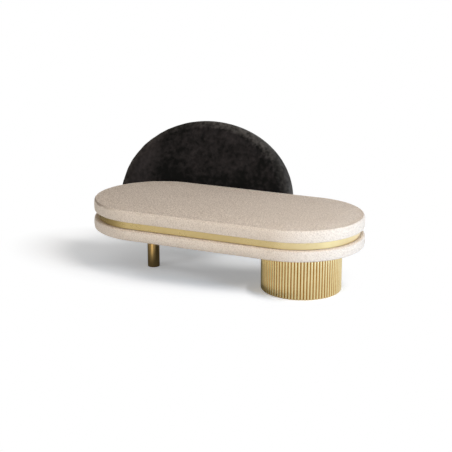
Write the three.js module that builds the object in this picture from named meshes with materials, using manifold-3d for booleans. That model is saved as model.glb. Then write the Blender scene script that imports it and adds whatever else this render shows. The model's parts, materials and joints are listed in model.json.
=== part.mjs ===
// A recamier: a long seat of two round-ended cushions with a brass band recessed between them,
// carried by a reeded brass drum and one round leg, with a half-moon back leaning behind its left half.
// Lengths are in millimetres. +X runs along the seat, -Y is its front and +Z is up.
// The origin is on the floor, under the middle of the whole outline.

import * as THREE from "three";
import { mergeVertices } from "three/addons/utils/BufferGeometryUtils.js";
import Module from "manifold-3d";

const wasm = await Module();
wasm.setup();

// Seat sizes
const seatLength = 1710;
const seatWidth = 800;
const seatClearHeight = 271;
const lowerCushionThickness = 69;
const recessHeight = 41;
const recessDepth = 27;
const upperCushionThickness = 75;
const cushionEdgeRadius = 20;
const cushionSideBulge = 3;
const cushionCrown = 6;
const bandThickness = 2;
const deckBoardThickness = 15;
const baseBoardThickness = 18;
const baseBoardInset = 25;
const liningThickness = 2;
const railWidth = 60;
const crossRailCount = 3;

// Tie bolts that clamp the base board, the spacers and the deck board together
const tieBolt = { shankRadius: 5, headRadius: 8.5, headHeight: 6 };
const tieBoltBite = 12;
const endTieInset = 35.3;
const endTieAngle = THREE.MathUtils.degToRad(63.4);

// Drum sizes, with its axis set in from the seat's right end
const drumEndInset = 366;
const drumRadius = 238.5;
const reedCount = 80;
const reedDepth = 6.5;
const reedGap = 3;
const sleeveWall = 3;
const drumWall = 12;
const drumDiscThickness = 18;
const drumPadThickness = 2;
const drumPadInset = 4;
const drumBolt = { shankRadius: 4, headRadius: 7, headHeight: 5 };
const drumBoltBite = 15;
const drumBoltCircleRadius = 150;
const drumBoltCount = 4;

// Leg sizes, with its axis set in from the seat's left end
const legEndInset = 355;
const legRadius = 37.5;
const legWall = 3;
const legPlateRim = 25;
const legPlateThickness = 5;
const glideThickness = 2;
const glideInset = 1;
const glideSpigotLength = 20;
const legScrew = { shankRadius: 2.5, headRadius: 5, headHeight: 3 };
const legScrewBite = 14;
const legScrewCount = 4;

// Back sizes: its foot rises from the seat's underside, where the front face is a gap behind the
// seat, and its left end stands out past the seat's
const backOverhang = 112;
const backWidth = 1200;
const backHeight = 494;
const backThickness = 110;
const backRecline = THREE.MathUtils.degToRad(20);
const backFootRise = 99;
const backGap = 5;
const backFrontRadius = 34;
const backRearRadius = 24;
const backCornerRadius = 30;
const backSideBulge = 2;
const backCrown = 8;
const backRim = 45;
const backBoardThickness = 18;
const backPanelThickness = 23;
const backPanelBevel = 6;
const backPanelSetback = 2;

// Steel brackets that carry the back
const bracketSpacing = 340;
const bracketWidth = 60;
const bracketThickness = 8;
const bracketBendRadius = 12;
const bracketReach = 230;
const bracketTongueLength = 260;
const bracketBolt = { shankRadius: 4, headRadius: 7, headHeight: 5 };
const bracketBoltBite = 14;
const bracketBoltInset = 25;
const bracketBoltPitch = 50;
const bracketBoltCount = 3;
const tongueBolt = { shankRadius: 4, headRadius: 8, headHeight: 4 };
const tongueBoltBite = 12;
const tongueBoltInset = 40;
const tongueBoltPitch = 120;
const tongueBoltCount = 2;

// Fits, and the counts that set how finely curves are cut
const clearance = 0.3;
const overrun = 5;
const weldDistance = 0.001;
const curveSteps = 16;
const turnedSteps = 32;
const boltSteps = 12;
const reedSteps = 6;
const edgeSteps = 3;
const seatOutlineSteps = 80;
const backOutlineSteps = 76;
const crownShares = [0.12, 0.3, 0.55, 0.8];

// Places that follow from the sizes
const seatRadius = seatWidth / 2;
const seatHalfStraight = seatLength / 2 - seatRadius;
const lowerTop = seatClearHeight + lowerCushionThickness;
const upperBottom = lowerTop + recessHeight;
const upperTop = upperBottom + upperCushionThickness;
const baseBoardBottom = seatClearHeight + liningThickness;
const baseBoardTop = baseBoardBottom + baseBoardThickness;
const spacerInset = recessDepth + bandThickness + clearance;
const spacerRadius = seatRadius - spacerInset;
const railMiddle = spacerRadius - railWidth / 2;
const endTieRadius = spacerRadius - endTieInset;
const drumOffset = seatLength / 2 - drumEndInset;
const legOffset = seatLength / 2 - legEndInset;
const grooveRadius = drumRadius - reedDepth;
const sleeveInnerRadius = grooveRadius - sleeveWall;
const drumWallRadius = sleeveInnerRadius - clearance;
const drumDiscRadius = drumWallRadius - drumWall - clearance;
const legPlateRadius = legRadius + legPlateRim;
const legScrewCircleRadius = legRadius + legPlateRim / 2;
const backOffset = seatLength / 2 + backOverhang - backWidth / 2;
const backFootHeight = seatClearHeight + backFootRise;
const panelFront = backThickness - backPanelSetback - backPanelThickness;
const tongueRear = panelFront - clearance;
const tongueFront = tongueRear - bracketThickness;
const boardRear = tongueFront - clearance;
const backFrontPadding = boardRear - backBoardThickness - clearance;
const bracketXs = [-bracketSpacing / 2, bracketSpacing / 2].map((x) => x - backOffset);

const brass = new THREE.MeshStandardMaterial({ color: 0xc9ad6b, roughness: 0.35, metalness: 1 });
const boucle = new THREE.MeshStandardMaterial({ color: 0xd8c8b6, roughness: 0.95, metalness: 0 });
const velvet = new THREE.MeshStandardMaterial({ color: 0x2b2625, roughness: 0.85, metalness: 0 });
const plywood = new THREE.MeshStandardMaterial({ color: 0xc9a878, roughness: 0.7, metalness: 0 });
const blackSteel = new THREE.MeshStandardMaterial({ color: 0x1e1e20, roughness: 0.5, metalness: 0.6 });
const zincSteel = new THREE.MeshStandardMaterial({ color: 0xa9acb0, roughness: 0.35, metalness: 1 });
const blackLining = new THREE.MeshStandardMaterial({ color: 0x242322, roughness: 0.9, metalness: 0 });
const blackRubber = new THREE.MeshStandardMaterial({ color: 0x161616, roughness: 0.8, metalness: 0 });

// Turns a closed geometry into a solid that can be cut.
function toSolid(geometry) {
  const bare = geometry.clone();
  bare.deleteAttribute("normal");
  bare.deleteAttribute("uv");
  const merged = mergeVertices(bare, weldDistance);
  return new wasm.Manifold(
    new wasm.Mesh({
      numProp: 3,
      vertProperties: merged.attributes.position.array,
      triVerts: new Uint32Array(merged.index.array),
    }),
  );
}

function toGeometry(solid) {
  const mesh = solid.getMesh();
  const geometry = new THREE.BufferGeometry();
  geometry.setAttribute("position", new THREE.BufferAttribute(mesh.vertProperties, 3));
  geometry.setIndex(new THREE.BufferAttribute(mesh.triVerts, 1));
  geometry.computeVertexNormals();
  return geometry;
}

function cut(geometry, cutters) {
  const solid = cutters.reduce((left, cutter) => left.subtract(toSolid(cutter)), toSolid(geometry));
  return toGeometry(solid);
}

function piece(name, geometry, material) {
  const mesh = new THREE.Mesh(geometry, material);
  mesh.name = name;
  return mesh;
}

// A flat board or plate of the given outline, from its bottom face up.
function plate(shape, bottom, thickness) {
  const settings = { depth: thickness, bevelEnabled: false, curveSegments: curveSteps };
  return new THREE.ExtrudeGeometry(shape, settings).translate(0, 0, bottom);
}

// A turned form about the Z axis, from its profile of radius and height.
function turned(profile, steps) {
  const points = profile.map(([radius, height]) => new THREE.Vector2(radius, height));
  return new THREE.LatheGeometry(points, steps).rotateX(Math.PI / 2);
}

function disc(radius) {
  return new THREE.Shape().absarc(0, 0, radius, 0, 2 * Math.PI);
}

function rectangle(left, right, front, rear) {
  const corners = [[left, front], [right, front], [right, rear], [left, rear]];
  return new THREE.Shape(corners.map(([x, y]) => new THREE.Vector2(x, y)));
}

// The seat's outline in plan, drawn in by an inset.
function seatOutline(inset) {
  const radius = seatRadius - inset;
  return new THREE.Shape()
    .absarc(seatHalfStraight, 0, radius, -Math.PI / 2, Math.PI / 2)
    .absarc(-seatHalfStraight, 0, radius, Math.PI / 2, 1.5 * Math.PI)
    .closePath();
}

// The heights and insets of a padded edge, from the bottom face round the side to the top face.
function edgeRows(bottom, top, lowerRadius, upperRadius, bulge) {
  const rows = [];
  for (let i = 0; i <= edgeSteps; i += 1) {
    const turn = (Math.PI / 2) * (1 - i / edgeSteps);
    rows.push({
      inset: bulge + lowerRadius * (1 - Math.cos(turn)),
      height: bottom + lowerRadius * (1 - Math.sin(turn)),
      share: 0,
    });
  }
  rows.push({ inset: 0, height: (bottom + lowerRadius + top - upperRadius) / 2, share: 0 });
  for (let i = 0; i <= edgeSteps; i += 1) {
    const turn = ((Math.PI / 2) * i) / edgeSteps;
    rows.push({
      inset: bulge + upperRadius * (1 - Math.cos(turn)),
      height: top - upperRadius * (1 - Math.sin(turn)),
      share: 0,
    });
  }
  return rows;
}

// The rows of a crowned top face, which rises from its edge to the middle.
function crownRows(top, crown, inset) {
  return crownShares.map((share) => ({ inset, height: top + crown * share * (2 - share), share }));
}

// A padded form: one ring of points for each row, drawn in from the outline by the row's inset and
// then a share of the way to the middle, and closed by a fan at the bottom and at the top.
function paddedForm(outline, middle, rows, topHeight) {
  const count = outline.length;
  const positions = [];
  const indices = [];
  for (const row of rows) {
    outline.forEach((corner, i) => {
      const along = outline[(i + 1) % count].clone().sub(outline[(i + count - 1) % count]).normalize();
      const inward = new THREE.Vector2(-along.y, along.x);
      const point = corner.clone().addScaledVector(inward, row.inset).lerp(middle, row.share);
      positions.push(point.x, point.y, row.height);
    });
  }
  const lastRow = rows.length - 1;
  positions.push(middle.x, middle.y, rows[0].height, middle.x, middle.y, topHeight);
  const bottomMiddle = rows.length * count;
  const topMiddle = bottomMiddle + 1;
  for (let i = 0; i < count; i += 1) {
    const next = (i + 1) % count;
    indices.push(bottomMiddle, next, i);
    indices.push(topMiddle, lastRow * count + i, lastRow * count + next);
    for (let row = 0; row < lastRow; row += 1) {
      const here = row * count + i;
      const beside = row * count + next;
      indices.push(here, beside, beside + count, here, beside + count, here + count);
    }
  }
  const geometry = new THREE.BufferGeometry();
  geometry.setAttribute("position", new THREE.Float32BufferAttribute(positions, 3));
  geometry.setIndex(indices);
  geometry.computeVertexNormals();
  return geometry;
}

function spacedOutline(shape, steps) {
  return shape.getSpacedPoints(steps).slice(0, steps);
}

function seatCushion(bottom, top, crown) {
  const rows = edgeRows(bottom, top, cushionEdgeRadius, cushionEdgeRadius, cushionSideBulge);
  if (crown > 0) rows.push(...crownRows(top, crown, cushionSideBulge + cushionEdgeRadius));
  const outline = spacedOutline(seatOutline(0), seatOutlineSteps);
  return paddedForm(outline, new THREE.Vector2(), rows, top + crown);
}

// A bolt with its head's outer face at zero and its shank pointing up.
function bolt({ shankRadius, headRadius, headHeight }, length) {
  const profile = [
    [0, 0],
    [headRadius, 0],
    [headRadius, headHeight],
    [shankRadius, headHeight],
    [shankRadius, length],
    [0, length],
  ];
  return turned(profile, boltSteps);
}

// A bolt whose conical head is flush with the face that it is sunk into.
function sunkBolt({ shankRadius, headRadius, headHeight }, length) {
  const profile = [
    [0, 0],
    [headRadius, 0],
    [shankRadius, headHeight],
    [shankRadius, length],
    [0, length],
  ];
  return turned(profile, boltSteps);
}

// A round hole that clears a bolt's shank or head of the given radius.
function roundHole(radius, bottom, top) {
  const wide = radius + clearance;
  return turned([[0, bottom], [wide, bottom], [wide, top], [0, top]], boltSteps);
}

function boltHole({ shankRadius }, bottom, top) {
  return roundHole(shankRadius, bottom, top);
}

function headHole({ headRadius }, bottom, top) {
  return roundHole(headRadius, bottom, top);
}

function ringOfPlaces(x, radius, count) {
  return Array.from({ length: count }, (_, i) => {
    const turn = ((i + 0.5) / count) * 2 * Math.PI;
    return new THREE.Vector2(x + radius * Math.cos(turn), radius * Math.sin(turn));
  });
}

const drumBoltPlaces = ringOfPlaces(drumOffset, drumBoltCircleRadius, drumBoltCount);
const legScrewPlaces = ringOfPlaces(-legOffset, legScrewCircleRadius, legScrewCount);

const endTieX = seatHalfStraight + endTieRadius * Math.cos(endTieAngle);
const endTieY = endTieRadius * Math.sin(endTieAngle);
const tieBoltPlaces = [
  new THREE.Vector2(-endTieX, -endTieY),
  new THREE.Vector2(-endTieX, endTieY),
  new THREE.Vector2(0, -railMiddle),
  new THREE.Vector2(0, railMiddle),
  new THREE.Vector2(endTieX, -endTieY),
  new THREE.Vector2(endTieX, endTieY),
];

const bracketFront = seatRadius - bracketReach;
const bracketBoltYs = Array.from(
  { length: bracketBoltCount },
  (_, i) => bracketFront + bracketBoltInset + i * bracketBoltPitch,
);
const bracketBoltPlaces = bracketXs.map((x) => bracketBoltYs.map((y) => new THREE.Vector2(x, y)));

function atPlaces(places, make) {
  return places.map((place) => make().translate(place.x, place.y, 0));
}

function throughHoles(places, size) {
  return atPlaces(places, () => boltHole(size, seatClearHeight - overrun, upperTop));
}

// The upper cushion, with a pocket under it for the deck board.
function upperCushion() {
  const pocket = plate(
    seatOutline(recessDepth + bandThickness),
    upperBottom - overrun,
    deckBoardThickness + clearance + overrun,
  );
  return cut(seatCushion(upperBottom, upperTop, cushionCrown), [pocket]);
}

function deckBoard() {
  const board = plate(seatOutline(spacerInset), upperBottom, deckBoardThickness);
  const holeTop = upperBottom + tieBoltBite + clearance;
  const holes = atPlaces(tieBoltPlaces, () => boltHole(tieBolt, upperBottom - overrun, holeTop));
  return cut(board, holes);
}

function brassBand() {
  const ring = seatOutline(recessDepth);
  ring.holes.push(seatOutline(recessDepth + bandThickness));
  return plate(ring, lowerTop, recessHeight);
}

// The spacers fill the height of the recess behind the band: a round block at each end, a rail
// along each side and rails across.
function endBlock(side) {
  const block = new THREE.Shape()
    .absarc(0, 0, spacerRadius, -Math.PI / 2, Math.PI / 2)
    .closePath();
  const solid = plate(block, lowerTop, recessHeight);
  if (side < 0) solid.rotateZ(Math.PI);
  solid.translate(side * seatHalfStraight, 0, 0);
  const places = tieBoltPlaces.filter((place) => place.x * side > 0);
  return cut(solid, throughHoles(places, tieBolt));
}

function sideRail(side) {
  const middle = side * railMiddle;
  const outline = rectangle(
    -seatHalfStraight,
    seatHalfStraight,
    middle - railWidth / 2,
    middle + railWidth / 2,
  );
  const places = tieBoltPlaces.filter((place) => place.x === 0 && place.y * side > 0);
  return cut(plate(outline, lowerTop, recessHeight), throughHoles(places, tieBolt));
}

function crossRail(index) {
  const bay = (2 * seatHalfStraight) / (crossRailCount + 1);
  const middle = -seatHalfStraight + (index + 1) * bay;
  const reach = railMiddle - railWidth / 2;
  const outline = rectangle(middle - railWidth / 2, middle + railWidth / 2, -reach, reach);
  return plate(outline, lowerTop, recessHeight);
}

// The lower cushion, with a pocket under it for the base board and the lining.
function lowerCushion() {
  const pocket = plate(
    seatOutline(baseBoardInset),
    seatClearHeight - overrun,
    liningThickness + baseBoardThickness + overrun,
  );
  const holes = throughHoles(tieBoltPlaces, tieBolt);
  return cut(seatCushion(seatClearHeight, lowerTop, 0), [pocket, ...holes]);
}

function baseBoard() {
  const board = plate(seatOutline(baseBoardInset + clearance), baseBoardBottom, baseBoardThickness);
  const below = baseBoardBottom - overrun;
  const above = baseBoardTop + overrun;
  const through = (size) => () => boltHole(size, below, above);
  return cut(board, [
    ...atPlaces(tieBoltPlaces, through(tieBolt)),
    ...atPlaces(tieBoltPlaces, () =>
      headHole(tieBolt, below, baseBoardBottom + tieBolt.headHeight + clearance),
    ),
    ...atPlaces(drumBoltPlaces, through(drumBolt)),
    ...atPlaces(drumBoltPlaces, () =>
      headHole(drumBolt, baseBoardTop - drumBolt.headHeight - 2 * clearance, above),
    ),
    ...atPlaces(legScrewPlaces, () =>
      boltHole(legScrew, below, baseBoardBottom + legScrewBite + clearance),
    ),
    ...atPlaces(bracketBoltPlaces.flat(), () =>
      boltHole(bracketBolt, below, baseBoardBottom + bracketBoltBite + clearance),
    ),
  ]);
}

function undersideLining() {
  const sheet = plate(seatOutline(baseBoardInset + clearance), seatClearHeight, liningThickness);
  const below = seatClearHeight - overrun;
  const above = baseBoardBottom + overrun;
  return cut(sheet, [
    ...atPlaces(drumBoltPlaces, () => boltHole(drumBolt, below, above)),
    ...atPlaces(legScrewPlaces, () => boltHole(legScrew, below, above)),
    ...atPlaces(bracketBoltPlaces.flat(), () => boltHole(bracketBolt, below, above)),
  ]);
}

function tieBoltForm() {
  const length = upperBottom + tieBoltBite - baseBoardBottom - clearance;
  return bolt(tieBolt, length).translate(0, 0, baseBoardBottom + clearance);
}

// The outline of the reeded sleeve: each reed is a half round that stands out from the groove circle.
function reededShape() {
  const pitch = (2 * Math.PI) / reedCount;
  const reedHalfAngle = (pitch - reedGap / grooveRadius) / 2;
  const points = [];
  for (let reed = 0; reed < reedCount; reed += 1) {
    for (let step = 0; step <= reedSteps; step += 1) {
      const turn = Math.PI * (1 - step / reedSteps);
      const angle = reed * pitch + reedHalfAngle * Math.cos(turn);
      const radius = grooveRadius + reedDepth * Math.sin(turn);
      points.push(new THREE.Vector2(radius * Math.cos(angle), radius * Math.sin(angle)));
    }
  }
  return new THREE.Shape(points);
}

function reededSleeve() {
  const shape = reededShape();
  shape.holes.push(disc(sleeveInnerRadius));
  return plate(shape, drumPadThickness, seatClearHeight - clearance - drumPadThickness);
}

// A hollow drum of bent plywood, with a disc let into each end.
function drumWallRing() {
  const shape = disc(drumWallRadius);
  shape.holes.push(disc(drumWallRadius - drumWall));
  return plate(shape, drumPadThickness, seatClearHeight - drumPadThickness);
}

function drumTopDisc() {
  const top = plate(disc(drumDiscRadius), seatClearHeight - drumDiscThickness, drumDiscThickness);
  const holeBottom = seatClearHeight - drumBoltBite - clearance;
  const hole = () => boltHole(drumBolt, holeBottom, seatClearHeight + overrun);
  const holes = drumBoltPlaces.map((place) => hole().translate(place.x - drumOffset, place.y, 0));
  return cut(top, holes);
}

function drumBoltForm() {
  const top = baseBoardTop - clearance;
  const length = top - seatClearHeight + drumBoltBite;
  return bolt(drumBolt, length).rotateX(Math.PI).translate(0, 0, top);
}

function drum() {
  const group = new THREE.Group();
  group.position.x = drumOffset;
  group.add(
    piece("reeded_sleeve", reededSleeve(), brass),
    piece("drum_wall", drumWallRing(), plywood),
    piece("drum_top_disc", drumTopDisc(), plywood),
    piece("drum_bottom_disc", plate(disc(drumDiscRadius), drumPadThickness, drumDiscThickness), plywood),
    piece("drum_floor_pad", plate(disc(drumWallRadius - drumPadInset), 0, drumPadThickness), blackRubber),
  );
  return group;
}

function legTube() {
  const shape = disc(legRadius);
  shape.holes.push(disc(legRadius - legWall));
  const top = seatClearHeight - legPlateThickness;
  return plate(shape, glideThickness, top - glideThickness);
}

function legPlate() {
  const bottom = seatClearHeight - legPlateThickness;
  const hole = () => boltHole(legScrew, bottom - overrun, seatClearHeight + overrun);
  const holes = legScrewPlaces.map((place) => hole().translate(place.x + legOffset, place.y, 0));
  return cut(plate(disc(legPlateRadius), bottom, legPlateThickness), holes);
}

// The glide's rim carries the tube, and its spigot stands inside it.
function legGlide() {
  const spigotRadius = legRadius - legWall - 2 * clearance;
  const profile = [
    [0, 0],
    [legRadius - glideInset, 0],
    [legRadius - glideInset, glideThickness],
    [spigotRadius, glideThickness],
    [spigotRadius, glideThickness + glideSpigotLength],
    [0, glideThickness + glideSpigotLength],
  ];
  return turned(profile, turnedSteps);
}

function leg() {
  const group = new THREE.Group();
  group.position.x = -legOffset;
  group.add(
    piece("leg_tube", legTube(), brass),
    piece("leg_plate", legPlate(), blackSteel),
    piece("leg_glide", legGlide(), blackRubber),
  );
  return group;
}

function legScrewForm() {
  const head = seatClearHeight - legPlateThickness - legScrew.headHeight;
  return bolt(legScrew, baseBoardBottom + legScrewBite - head).translate(0, 0, head);
}

// The back is drawn lying flat, with its front face up and its height along +Y, and then stood up.
const backPlace = new THREE.Group();
backPlace.position.set(-backOffset, seatRadius + backGap, backFootHeight);
backPlace.rotation.x = Math.PI / 2 - backRecline;
backPlace.updateMatrix();

function backOutline() {
  const corner = backWidth / 2 - backCornerRadius;
  return new THREE.Shape()
    .absellipse(0, 0, backWidth / 2, backHeight, 0, Math.PI)
    .absarc(-corner, 0, backCornerRadius, Math.PI, 1.5 * Math.PI)
    .absarc(corner, 0, backCornerRadius, 1.5 * Math.PI, 2 * Math.PI)
    .closePath();
}

// The half moon of the boards inside the back, drawn in by an inset.
function backInnerOutline(inset) {
  const height = backHeight - inset;
  const base = inset - backCornerRadius;
  const start = Math.asin(base / height);
  return new THREE.Shape()
    .absellipse(0, 0, backWidth / 2 - inset, height, start, Math.PI - start)
    .closePath();
}

// The cushion wraps the front and the rim, with a pocket behind and a slot for each bracket.
function backCushion() {
  const rows = edgeRows(-backThickness, 0, backRearRadius, backFrontRadius, backSideBulge);
  rows.push(...crownRows(0, backCrown, backSideBulge + backFrontRadius));
  const middle = new THREE.Vector2(0, backHeight / 2 - backCornerRadius);
  const outline = spacedOutline(backOutline(), backOutlineSteps);
  const pocketDepth = backThickness - backFrontPadding;
  const pocket = plate(backInnerOutline(backRim), -backThickness - overrun, pocketDepth + overrun);
  const slots = bracketXs.map((x) =>
    plate(
      rectangle(
        x + backOffset - bracketWidth / 2 - clearance,
        x + backOffset + bracketWidth / 2 + clearance,
        -backCornerRadius - overrun,
        backRim,
      ),
      -tongueRear - clearance,
      bracketThickness + 2 * clearance,
    ),
  );
  return cut(paddedForm(outline, middle, rows, backCrown), [pocket, ...slots]);
}

const tongueBoltYs = Array.from(
  { length: tongueBoltCount },
  (_, i) => bracketTongueLength - tongueBoltInset - i * tongueBoltPitch,
);
const tongueBoltPlaces = bracketXs.map((x) =>
  tongueBoltYs.map((y) => new THREE.Vector2(x + backOffset, y)),
);

function backCoreBoard() {
  const board = plate(backInnerOutline(backRim + clearance), -boardRear, backBoardThickness);
  const holeTop = -tongueFront + tongueBoltBite + clearance;
  const holes = atPlaces(tongueBoltPlaces.flat(), () => boltHole(tongueBolt, -tongueRear, holeTop));
  return cut(board, holes);
}

// The covered panel that closes the rear, with a soft bevel round its outer face.
function backRearPanel() {
  const settings = {
    depth: backPanelThickness - 2 * backPanelBevel,
    bevelThickness: backPanelBevel,
    bevelSize: backPanelBevel,
    bevelOffset: -backPanelBevel,
    bevelSegments: edgeSteps,
    curveSegments: curveSteps,
  };
  const panel = new THREE.ExtrudeGeometry(backInnerOutline(backRim + clearance), settings);
  return panel.translate(0, 0, backPanelBevel - backThickness + backPanelSetback);
}

function tongueBoltForm() {
  const length = bracketThickness + tongueBoltBite;
  return sunkBolt(tongueBolt, length).translate(0, 0, -tongueRear + clearance);
}

function tongueBoltHole() {
  const { shankRadius, headRadius, headHeight } = tongueBolt;
  const headWide = headRadius + clearance;
  const shankWide = shankRadius + clearance;
  const profile = [
    [0, -overrun],
    [headWide, -overrun],
    [headWide, 0],
    [shankWide, headHeight],
    [shankWide, bracketThickness + overrun],
    [0, bracketThickness + overrun],
  ];
  return turned(profile, boltSteps).translate(0, 0, -tongueRear);
}

// A flat bar that runs in under the base board, turns up behind the seat and ends as a tongue
// inside the back. Its profile is drawn in Y and Z, and its width runs along X.
function bracket(x, boltPlaces, tonguePlaces) {
  const lean = Math.sin(backRecline);
  const rise = Math.cos(backRecline);
  const turn = Math.PI / 2 - backRecline;
  const outerRadius = bracketBendRadius + bracketThickness;
  const bendZ = seatClearHeight + bracketBendRadius;
  const bendReach = tongueFront - bracketBendRadius + (bendZ - backFootHeight) * lean;
  const bendY = backPlace.position.y + bendReach / rise;
  const bendAlong = (bendY - backPlace.position.y) * lean + (bendZ - backFootHeight) * rise;
  const upright = bracketTongueLength - bendAlong;
  const pointAt = (radius, along) =>
    new THREE.Vector2(bendY + radius * rise + along * lean, bendZ - radius * lean + along * rise);
  const profile = new THREE.Shape()
    .moveTo(bracketFront, seatClearHeight - bracketThickness)
    .absarc(bendY, bendZ, outerRadius, -Math.PI / 2, -Math.PI / 2 + turn)
    .lineTo(...pointAt(outerRadius, upright).toArray())
    .lineTo(...pointAt(bracketBendRadius, upright).toArray())
    .absarc(bendY, bendZ, bracketBendRadius, -Math.PI / 2 + turn, -Math.PI / 2, true)
    .lineTo(bracketFront, seatClearHeight);
  const bar = plate(profile, x - bracketWidth / 2, bracketWidth);
  const turnedAxes = new THREE.Matrix4().makeBasis(
    new THREE.Vector3(0, 1, 0),
    new THREE.Vector3(0, 0, 1),
    new THREE.Vector3(1, 0, 0),
  );
  bar.applyMatrix4(turnedAxes);
  const footHoles = atPlaces(boltPlaces, () =>
    boltHole(bracketBolt, seatClearHeight - bracketThickness - overrun, seatClearHeight + overrun),
  );
  const tongueHoles = atPlaces(tonguePlaces, tongueBoltHole).map((hole) =>
    hole.applyMatrix4(backPlace.matrix),
  );
  return cut(bar, [...footHoles, ...tongueHoles]);
}

function bracketBoltForm() {
  const head = seatClearHeight - bracketThickness - bracketBolt.headHeight;
  return bolt(bracketBolt, baseBoardBottom + bracketBoltBite - head).translate(0, 0, head);
}

function addFasteners(group, name, places, make, material) {
  atPlaces(places, make).forEach((geometry, i) => {
    group.add(piece(`${name}_${i + 1}`, geometry, material));
  });
}

function seat() {
  const group = new THREE.Group();
  group.add(
    piece("upper_cushion", upperCushion(), boucle),
    piece("deck_board", deckBoard(), plywood),
    piece("brass_band", brassBand(), brass),
    piece("left_end_block", endBlock(-1), plywood),
    piece("right_end_block", endBlock(1), plywood),
    piece("front_rail", sideRail(-1), plywood),
    piece("rear_rail", sideRail(1), plywood),
    piece("lower_cushion", lowerCushion(), boucle),
    piece("base_board", baseBoard(), plywood),
    piece("underside_lining", undersideLining(), blackLining),
  );
  for (let i = 0; i < crossRailCount; i += 1) {
    group.add(piece(`cross_rail_${i + 1}`, crossRail(i), plywood));
  }
  addFasteners(group, "tie_bolt", tieBoltPlaces, tieBoltForm, zincSteel);
  addFasteners(group, "drum_bolt", drumBoltPlaces, drumBoltForm, zincSteel);
  addFasteners(group, "leg_screw", legScrewPlaces, legScrewForm, zincSteel);
  return group;
}

function brackets() {
  const group = new THREE.Group();
  ["left", "right"].forEach((side, i) => {
    const form = bracket(bracketXs[i], bracketBoltPlaces[i], tongueBoltPlaces[i]);
    group.add(piece(`${side}_bracket`, form, blackSteel));
    addFasteners(group, `${side}_bracket_bolt`, bracketBoltPlaces[i], bracketBoltForm, zincSteel);
    addFasteners(backPlace, `${side}_tongue_bolt`, tongueBoltPlaces[i], tongueBoltForm, zincSteel);
  });
  return group;
}

function back() {
  backPlace.add(
    piece("back_cushion", backCushion(), velvet),
    piece("back_core_board", backCoreBoard(), plywood),
    piece("back_rear_panel", backRearPanel(), velvet),
  );
  return backPlace;
}

// The whole outline runs from the back's left end to the seat's right end, and from the seat's
// front to the rear of the back's top edge.
const outlineMiddleX = (seatLength / 2 - backOffset - backWidth / 2) / 2;
const backTopReach =
  (backThickness - backRearRadius) * Math.cos(backRecline) +
  (backHeight - backRearRadius) * Math.sin(backRecline) +
  backRearRadius;
const outlineMiddleY = (backGap + backTopReach) / 2;

const assembly = new THREE.Group();
assembly.position.set(-outlineMiddleX, -outlineMiddleY, 0);
assembly.add(seat(), drum(), leg(), brackets(), back());

const recamier = new THREE.Group();
recamier.add(assembly);

export default recamier;
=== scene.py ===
"""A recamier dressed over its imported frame.

The file is laid out as an add-on and is run as a script. It loads the frame, covers the seat and
the back, makes the brass work, gives the hidden frame its finishes, sets up the studio and leaves
the scene ready to render. All lengths are in metres, in the frame's own axes.
"""

import json
import math

import bmesh
import bpy
from mathutils import Matrix, Vector


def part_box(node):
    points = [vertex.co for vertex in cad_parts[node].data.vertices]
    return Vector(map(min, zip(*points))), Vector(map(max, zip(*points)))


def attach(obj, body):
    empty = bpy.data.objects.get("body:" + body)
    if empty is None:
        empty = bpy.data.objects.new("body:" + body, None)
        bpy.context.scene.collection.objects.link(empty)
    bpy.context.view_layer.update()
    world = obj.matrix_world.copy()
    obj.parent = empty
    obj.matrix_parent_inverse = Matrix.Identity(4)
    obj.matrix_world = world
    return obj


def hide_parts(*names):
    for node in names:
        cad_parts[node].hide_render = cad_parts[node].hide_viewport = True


bl_info = {
    "name": "Recamier",
    "version": (1, 0, 0),
    "blender": (4, 5, 0),
    "location": "3D View > Sidebar > Recamier",
    "description": "Dresses the packed frame of a recamier and sets up its studio",
    "category": "Object",
}

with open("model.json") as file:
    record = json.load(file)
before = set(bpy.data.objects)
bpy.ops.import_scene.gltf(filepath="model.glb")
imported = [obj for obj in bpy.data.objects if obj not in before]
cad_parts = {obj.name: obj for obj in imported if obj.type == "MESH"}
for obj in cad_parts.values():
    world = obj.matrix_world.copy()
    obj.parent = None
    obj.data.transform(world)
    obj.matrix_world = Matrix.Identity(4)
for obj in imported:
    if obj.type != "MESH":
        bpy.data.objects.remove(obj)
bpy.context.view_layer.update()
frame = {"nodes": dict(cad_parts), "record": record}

UPPER_LOW, UPPER_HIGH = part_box("upper_cushion")
LOWER_LOW, LOWER_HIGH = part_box("lower_cushion")
BACK_LOW, BACK_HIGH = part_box("back_cushion")
BAND_LOW, BAND_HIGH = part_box("brass_band")
DECK_LOW, DECK_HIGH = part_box("deck_board")
BASE_LOW, BASE_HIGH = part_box("base_board")
LINING_LOW, LINING_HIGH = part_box("underside_lining")
SLEEVE_LOW, SLEEVE_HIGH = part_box("reeded_sleeve")
LEG_LOW, LEG_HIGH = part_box("leg_tube")

SEAT_MIDDLE = (UPPER_LOW + UPPER_HIGH) / 2
SLEEVE_MIDDLE = (SLEEVE_LOW + SLEEVE_HIGH) / 2
SEAT_LENGTH = UPPER_HIGH.x - UPPER_LOW.x
SEAT_WIDTH = UPPER_HIGH.y - UPPER_LOW.y
BAND_WALL = 0.002
BAND_EASING = 0.0005
LEG_WALL = 0.003
BAR_EASING = 0.0007
CLEARANCE = 0.0003

# The back is drawn lying flat with its front face up and its height along Y, and then stood up.
BACK_TURN = math.radians(70)
BACK_PLACE = ((BACK_LOW.x + BACK_HIGH.x) / 2, 0.26972, 0.370)
BACK_STAND = Matrix.Translation(BACK_PLACE) @ Matrix.Rotation(BACK_TURN, 4, "X")
BACK_HALF_WIDTH = 0.600
BACK_HEIGHT = 0.494
BACK_THICKNESS = 0.110
BACK_CORNER = 0.030
BACK_RIM = 0.045
POCKET_DEPTH = 0.0519
PANEL_SETBACK = 0.002
PANEL_THICKNESS = 0.023

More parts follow.
